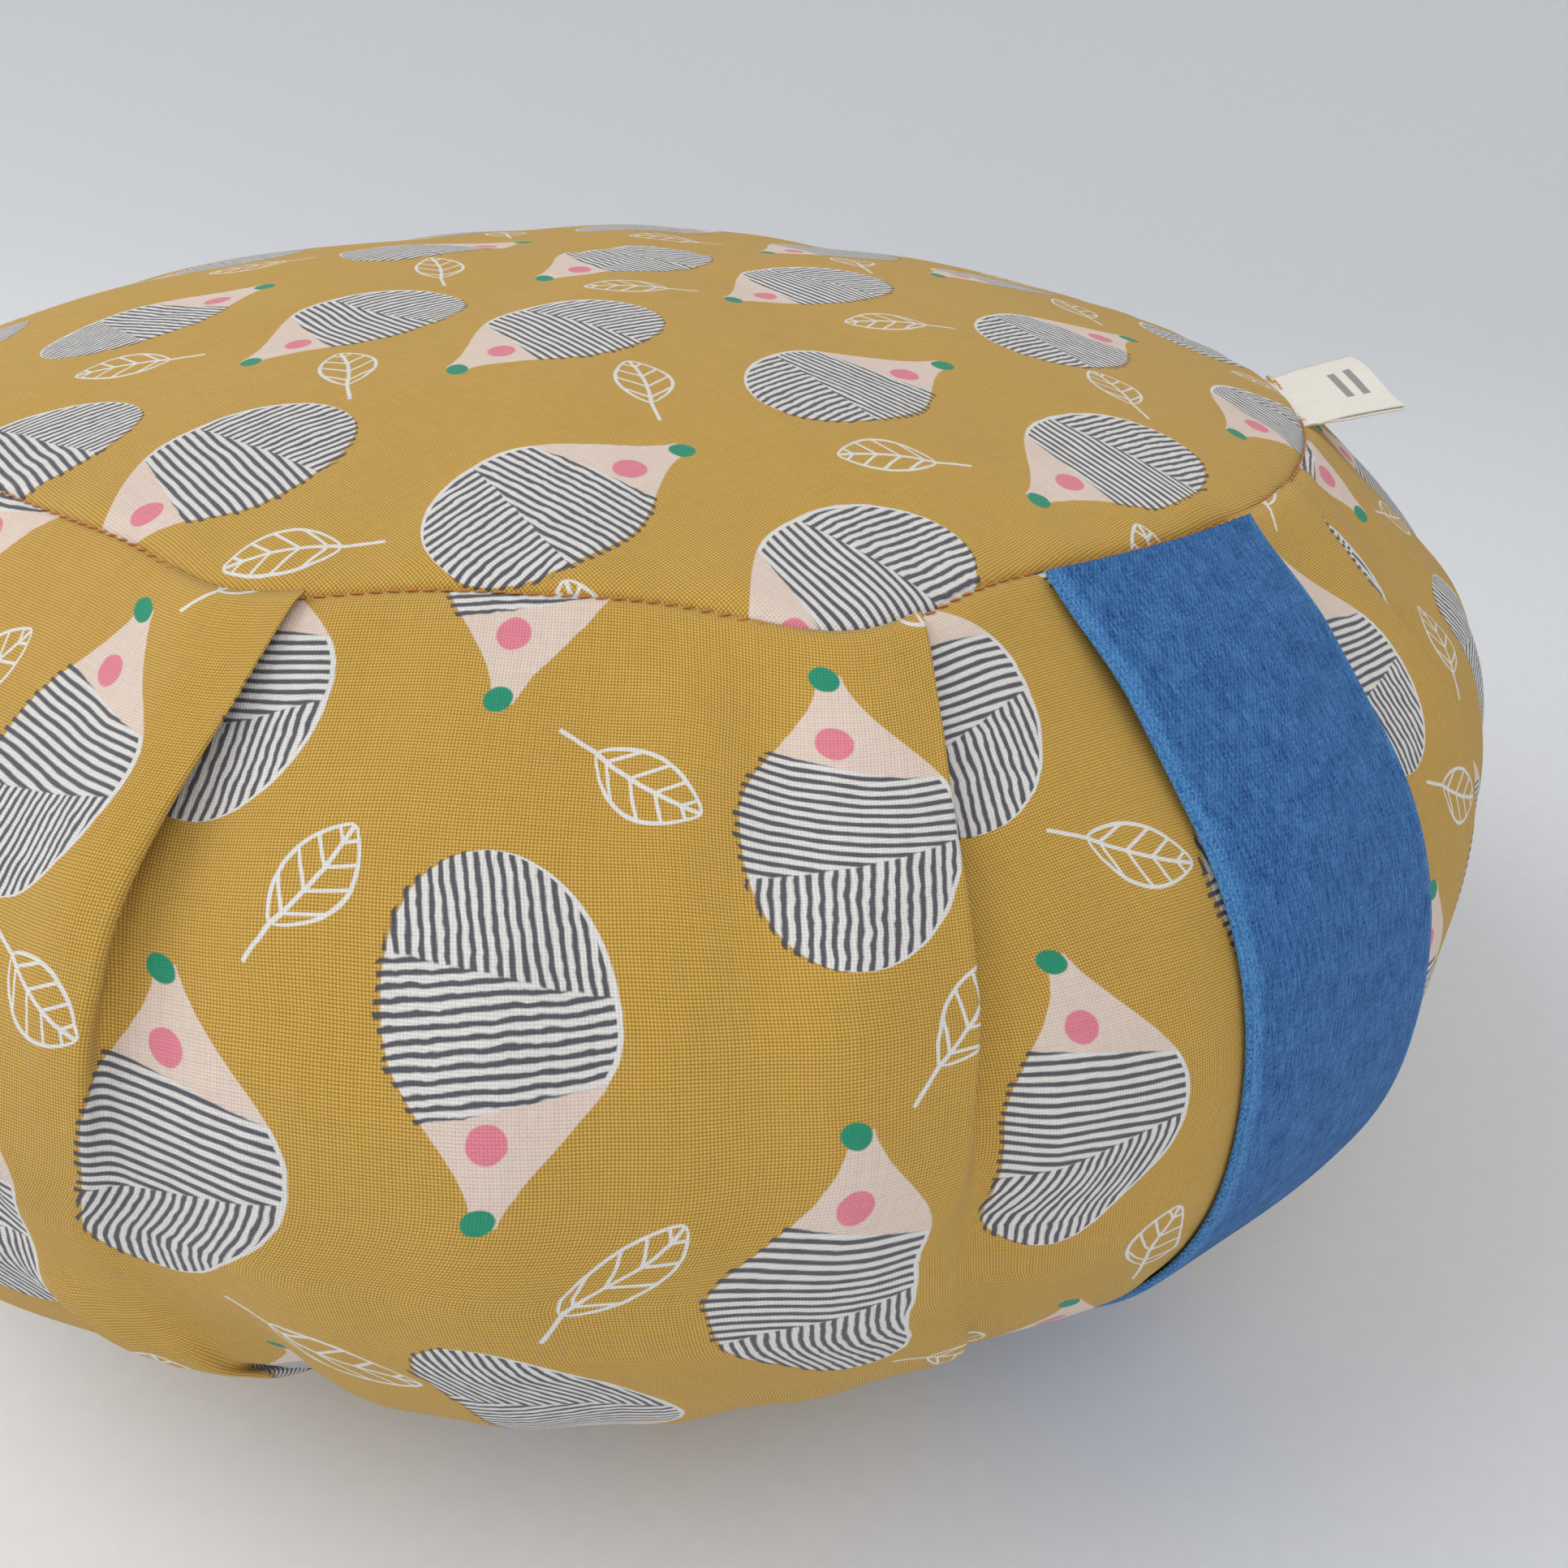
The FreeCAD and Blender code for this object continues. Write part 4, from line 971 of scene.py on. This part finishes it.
def print_colour(shader, column, axis, first_column, first_row, ground):
    """Rows of hatched pear shapes with a dotted neck, and small leaves between them."""
    place = shader.vector(column, axis)
    wobble = shader.noise(place, 0.35, 2) - 0.5
    slow = shader.noise(place, 0.09, 1) - 0.5
    across = column - first_column + wobble * 0.5
    index = (across / COLUMN_PITCH + 0.5).floor()
    x = across - index * COLUMN_PITCH
    is_first, is_second, start = column_kind(index)
    start = start + first_row
    x = x - is_second * SECOND_ASIDE
    row = ((axis - start) / ROW_PITCH + 0.5).floor()
    y = axis - start - row * ROW_PITCH + wobble * 0.4
    facing = is_first * 2.0 - 1.0
    tip = y * facing
    part = (tip + MOTIF_LENGTH / 2) / MOTIF_LENGTH
    belly = 0.47
    round_end = 1.0 - ((belly - part) / belly).most(0.0).power(2.3)
    neck = ((part - belly) / (1 - belly)).clamped()
    taper = ((neck * pi).cos() * 0.5 + 0.5).power(0.88) * 0.88 + 0.12
    inside_ends = (((part - 0.5).abs() - 0.5) * MOTIF_LENGTH).below(0.0, 0.2)
    half = round_end.most(0.0).sqrt() * taper * (MOTIF_WIDTH / 2)
    lean = (part - 0.4) * (part - 0.4) * 6.0
    aside = x + lean - 0.5
    outside = aside.abs() - half
    body = outside.below(0.0, 0.25) * inside_ends
    band_edge = part + aside * 0.006 + wobble * 0.02
    cross_zone = band_edge.below(0.675, 0.006)
    end_zone = (part - aside * 0.004 + wobble * 0.02).below(0.335, 0.006)
    hatch_wobble = wobble * 0.3 + slow * 1.1
    cross_line = ((tip + aside * 0.13 + hatch_wobble) / HATCH_PITCH).modulo(1.0) - 0.5
    long_line = ((aside - tip * 0.05 + hatch_wobble) / HATCH_PITCH).modulo(1.0) - 0.5
    line_width = 0.235 + wobble * 0.16
    cross_ink = cross_line.abs().below(line_width, 0.16)
    long_ink = long_line.abs().below(line_width, 0.16)
    ink = cross_ink * (1.0 - end_zone) + long_ink * end_zone
    inset = (outside + 0.65).below(0.0, 0.2) * inside_ends
    spill = (outside - 0.7 - wobble * 2.0).below(0.0, 0.2) * aside.below(-2.0, 0.5) * inside_ends
    hatch_area = inset.most(spill) * cross_zone
    blush = (((aside + 1.0) * (aside + 1.0) + (tip - 11.0) * (tip - 11.0)).sqrt()).below(2.3, 0.25)
    stalk_x, stalk_y = aside + 0.6, (tip - MOTIF_LENGTH / 2 + 0.6) * 1.1
    stalk = ((stalk_x * stalk_x + stalk_y * stalk_y).sqrt()).below(1.9, 0.25)
    leaf_across = across - LEAF_ASIDE
    leaf_index = (leaf_across / COLUMN_PITCH + 0.5).floor()
    leaf_x = leaf_across - leaf_index * COLUMN_PITCH
    leaf_axis = axis - column_kind(leaf_index)[2] - first_row - LEAF_BELOW
    leaf_row = (leaf_axis / ROW_PITCH + 0.5).floor()
    leaf_y = leaf_axis - leaf_row * ROW_PITCH
    swing = (leaf_row + leaf_index + 1.0).modulo(2.0)
    leaf = leaf_mask(leaf_x, leaf_y, swing * 1.45 - 0.95) * (1.0 - body)
    colour = shader.mix(leaf, ground, INK_WHITE)
    white_part = shader.mix(cross_zone, BEIGE, INK_WHITE)
    colour = shader.mix(body, colour, white_part)
    colour = shader.mix(blush * body * (1.0 - cross_zone), colour, PINK)
    colour = shader.mix((ink * hatch_area * 0.95).clamped(), colour, CHARCOAL)
    return shader.mix(stalk, colour, GREEN)


def printed_cotton(name, first_column, first_row, grain_turn=0.0):
    """Mustard canvas with the print; the panel's grain is turned by an angle in its own plane."""
    shader = Shader(name)
    u, v = shader.cloth_place()
    cosine, sine = cos(grain_turn), sin(grain_turn)
    column, axis = u * cosine + v * sine, v * cosine - u * sine
    weave = plain_weave(shader, column, axis, 0.42)
    slub_warp = shader.noise((column * 2.2, axis * 0.12), 1.0, 2)
    slub_weft = shader.noise((column * 0.12, axis * 2.2), 1.0, 2)
    fade = shader.noise((column, axis), 0.02, 2)
    ground = shader.mix(weave, linear(160, 114, 30), linear(216, 178, 88))
    threads = slub_warp * 0.18 + slub_weft * 0.18 + fade * 0.08 + 0.78
    colour = print_colour(shader, column, axis, first_column, first_row, ground)
    colour = shader.shade(colour, threads * (weave * 0.22 + 0.86))
    height = weave * 0.7 + slub_warp * 0.35 + slub_weft * 0.35
    shader.bump(height, 0.00016, 0.9)
    return shader.finish(colour, 0.86, sheen=0.12, specular=0.25)


# ---- other materials

def denim():
    """Light blue twill: fine diagonal ribs, pale slubs along the warp and worn folded edges."""
    shader = Shader("blue_denim_cloth")
    x, y = shader.cloth_place()
    warp = shader.noise((x * 2.4, y * 0.30), 1.0, 3, 0.6)
    weft = shader.noise((x * 0.30, y * 2.4), 1.0, 2, 0.6)
    cloud = shader.noise((x, y), 0.16, 3, 0.6)
    twill = ((x * 1.9 + y * 1.3) * (pi / 0.75)).sin() * 0.5 + 0.5
    fleck = shader.noise((x * 2.6, y * 2.6), 1.0, 2, 0.7)
    width = STRAP_WIDTH / MM
    from_edge = (x.modulo(width) - width / 2).abs() - width / 2
    worn = (from_edge * 0.45 + 1.15).clamped() * (fleck * 2.8 - 0.9).clamped()
    heather = (warp - 0.5) * 1.5 + (weft - 0.5) * 0.6 + (fleck - 0.5) * 1.1
    pale = (heather + cloud * 0.55 + twill * 0.16 + 0.06 + worn * 0.9).clamped()
    colour = shader.mix(pale, linear(8, 62, 124), linear(84, 144, 202))
    colour = shader.shade(colour, fleck * 0.3 + 0.85)
    shader.bump(twill * 0.7 + warp * 0.9 + fleck * 0.8, 0.00024, 0.9)
    return shader.finish(colour, 0.88, sheen=0.06, specular=0.15)


def speckled(name, scale, detail, dark, light, depth, strength, roughness, **gloss):
    """Material with one fine noise, both as a change of tone and as a bump."""
    shader = Shader(name)
    speck = shader.noise(shader.object_place(), scale, detail)
    colour = shader.mix(speck, dark, light)
    shader.bump(speck, depth, strength)
    return shader.finish(colour, roughness, **gloss)


def thread_material(name, colour):
    dark = tuple(part * 0.7 for part in colour)
    light = tuple(min(1, part * 1.2) for part in colour)
    return speckled(name, 2600.0, 2, dark, light, 0.0001, 0.6, 0.7, sheen=0.2, specular=0.3)


def label_cotton():
    """Pale cotton tape with a ribbed weave and two plain grey bars."""
    shader = Shader("label_cotton_tape")
    x, y = shader.cloth_place()
    ribs = (y * (pi / 0.3)).sin() * 0.5 + 0.5
    weave = (x * (pi / 0.22)).sin() * ribs
    bar = ((y - 22.5).abs() - 0.7).below(0.0, 0.15) + ((y - 25.5).abs() - 0.7).below(0.0, 0.15)
    bars = (bar * (x.abs() - 8.0).below(0.0, 0.3)).clamped()
    cloud = shader.noise((x, y), 0.4, 3)
    colour = shader.mix(bars, linear(232, 228, 218), linear(150, 148, 146))
    colour = shader.shade(colour, cloud * 0.12 + 0.92)
    shader.bump(ribs * 0.5 + weave * 0.5, 0.00012, 0.7)
    return shader.finish(colour, 0.85, sheen=0.1, specular=0.2)


def plain_cloth(name, colour, pitch):
    """Undyed or dyed plain weave without cloth coordinates: threads follow the object's own axes."""
    shader = Shader(name)
    parts = shader.add("ShaderNodeSeparateXYZ")
    shader.connect(shader.object_place(), parts.inputs[0])
    x, y, z = (Number(shader.tree, parts.outputs[i]) for i in range(3))
    weave = plain_weave(shader, (x + z) * 1000.0, (y - z) * 1000.0, pitch)
    slubs = shader.noise(shader.object_place(), 400.0, 3)
    shade = shader.mix(slubs * 0.5 + weave * 0.5, tuple(part * 0.82 for part in colour), colour)
    shader.bump(weave * 0.7 + slubs * 0.4, 0.00012, 0.7)
    return shader.finish(shade, 0.88, sheen=0.1, specular=0.2)


def zip_metal():
    return speckled("zip_metal_nickel", 900.0, 3, linear(150, 148, 142), linear(205, 203, 198),
                    0.00003, 0.4, 0.32, metallic=1.0)


def zip_coil_plastic():
    return speckled("zip_coil_nylon", 1500.0, 2, linear(188, 148, 62), linear(214, 176, 88),
                    0.00002, 0.3, 0.4)


def buckwheat():
    """Buckwheat hulls: small dark three-cornered flakes."""
    shader = Shader("hull_filling_flakes")
    cells = shader.add("ShaderNodeTexVoronoi")
    cells.inputs["Scale"].default_value = 230.0
    shader.connect(shader.object_place(), cells.inputs["Vector"])
    height = Number(shader.tree, cells.outputs["Distance"])
    tone = shader.noise(shader.object_place(), 260.0, 2)
    colour = shader.mix(tone, linear(52, 38, 28), linear(112, 82, 56))
    shader.bump(1.0 - height, 0.001, 0.9)
    return shader.finish(colour, 0.7, specular=0.3)


def paint(piece, material):
    piece.data.materials.clear()
    piece.data.materials.append(material)


# ---- build

side_puffs = simulate_side()
top_puffs = simulate_top()
side_band = make_side_band()
top_panel = make_top_panel()
bottom_panel = make_bottom_panel()
top_stitches = make_seam_stitches("top_seam_stitches", "top_seam_thread", -180, 180, top_groove,
                                  STITCH, SEAM_TILT)
bottom_stitches = make_seam_stitches("bottom_seam_stitches", "bottom_seam_thread", ZIP_END,
                                     ZIP_START + 360, bottom_groove, STITCH, -SEAM_TILT)
strap = make_strap()
label = make_label()
liners, liner_stitches, filling = make_inner_cushion()
coils = make_coils()

paint(side_band, printed_cotton("printed_cotton_side", -403.0, -4.5))
paint(top_panel, printed_cotton("printed_cotton_top", -74.0, 38.0, radians(-98)))
paint(bottom_panel, printed_cotton("printed_cotton_bottom", 10.0, 5.0, 0.3))
seam_thread = thread_material("seam_thread_orange", linear(196, 122, 48))
for stitches in (top_stitches, bottom_stitches):
    paint(stitches, seam_thread)
paint(strap, denim())
paint(label, label_cotton())
liner_cloth = plain_cloth("liner_cotton_cloth", linear(226, 219, 202), 0.5)
for piece in liners:
    paint(piece, liner_cloth)
liner_thread = thread_material("liner_thread_white", linear(228, 224, 214))
for stitches in liner_stitches:
    paint(stitches, liner_thread)
paint(filling, buckwheat())
coil_material = zip_coil_plastic()
for coil in coils:
    paint(coil, coil_material)
tape_material = plain_cloth("zip_tape_cloth", linear(196, 156, 70), 0.45)
metal = zip_metal()
for node, material in (("zip_tape_upper", tape_material), ("zip_tape_lower", tape_material),
                       ("zip_end_stops", metal), ("zip_slider", metal), ("zip_pull", metal),
                       ("liner_closing_stitches", liner_thread)):
    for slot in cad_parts[node].material_slots:
        slot.material = material


# ---- floor, lights and camera

def make_floor():
    """Pale paper: flat under the cushion, and swept up into a wall far round it."""
    flat, bend, wall = 1.0, 1.7, 0.6
    columns = 96
    turns = np.linspace(0, pi / 2, 24)
    r = np.concatenate(([0.02, 0.4, 0.7], flat + bend * np.sin(turns), [flat + bend]))
    z = np.concatenate(([0, 0, 0], bend * (1 - np.cos(turns)), [bend + wall]))
    places = around(*np.broadcast_arrays(r[:, None], z[:, None], all_round(columns)))
    faces = flipped(grid_faces(len(r), columns, closed=True)) + [range(columns)]
    mesh = make_mesh("floor", places.reshape(-1, 3), faces)
    mesh.shade_smooth()
    floor = link("floor", mesh)
    mesh.materials.append(speckled("floor_paper", 240.0, 3, linear(227, 229, 232), linear(234, 236, 239),
                                   0.0002, 0.3, 0.75, specular=0.2))


def add_light(name, place, target, size, power, colour):
    lamp = adjust(bpy.data.lights.new(name, "AREA"), shape="DISK", size=size, energy=power, color=colour)
    light = link(name, lamp)
    light.location = place
    light.rotation_euler = (Vector(target) - Vector(place)).to_track_quat("-Z", "Y").to_euler()


def make_lights():
    world = bpy.data.worlds.new("pale_room")
    world.use_nodes = True
    background = world.node_tree.nodes["Background"]
    background.inputs[0].default_value = (0.86, 0.87, 0.89, 1)
    background.inputs[1].default_value = 0.62
    bpy.context.scene.world = world
    middle = (0, 0, EQUATOR_Z)
    add_light("window", (-1.0, 0.6, 1.25), middle, 1.5, 14, (1.0, 0.98, 0.95))
    add_light("front", (-0.5, -1.0, 1.05), middle, 1.6, 7, (1.0, 0.98, 0.96))


def make_camera():
    """The camera that was fitted to the photograph's view."""
    data = adjust(bpy.data.cameras.new("camera"), lens=33.54, sensor_width=36.0, clip_start=0.01)
    heading, pitch, roll = radians(49.62), radians(-28.76), 0.052
    forward = Vector((cos(heading) * cos(pitch), sin(heading) * cos(pitch),
                      sin(pitch)))
    right = Vector((sin(heading), -cos(heading), 0))
    up = right.cross(forward)
    x_axis = right * cos(roll) + up * sin(roll)
    y_axis = up * cos(roll) - right * sin(roll)
    turned = Matrix((x_axis, y_axis, -forward)).transposed().to_4x4()
    camera = link("camera", data)
    camera.matrix_world = Matrix.Translation((-0.1702, -0.2507, 0.2211)) @ turned
    bpy.context.scene.camera = camera


make_floor()
make_lights()
make_camera()
bpy.context.scene.view_settings.view_transform = "Standard"
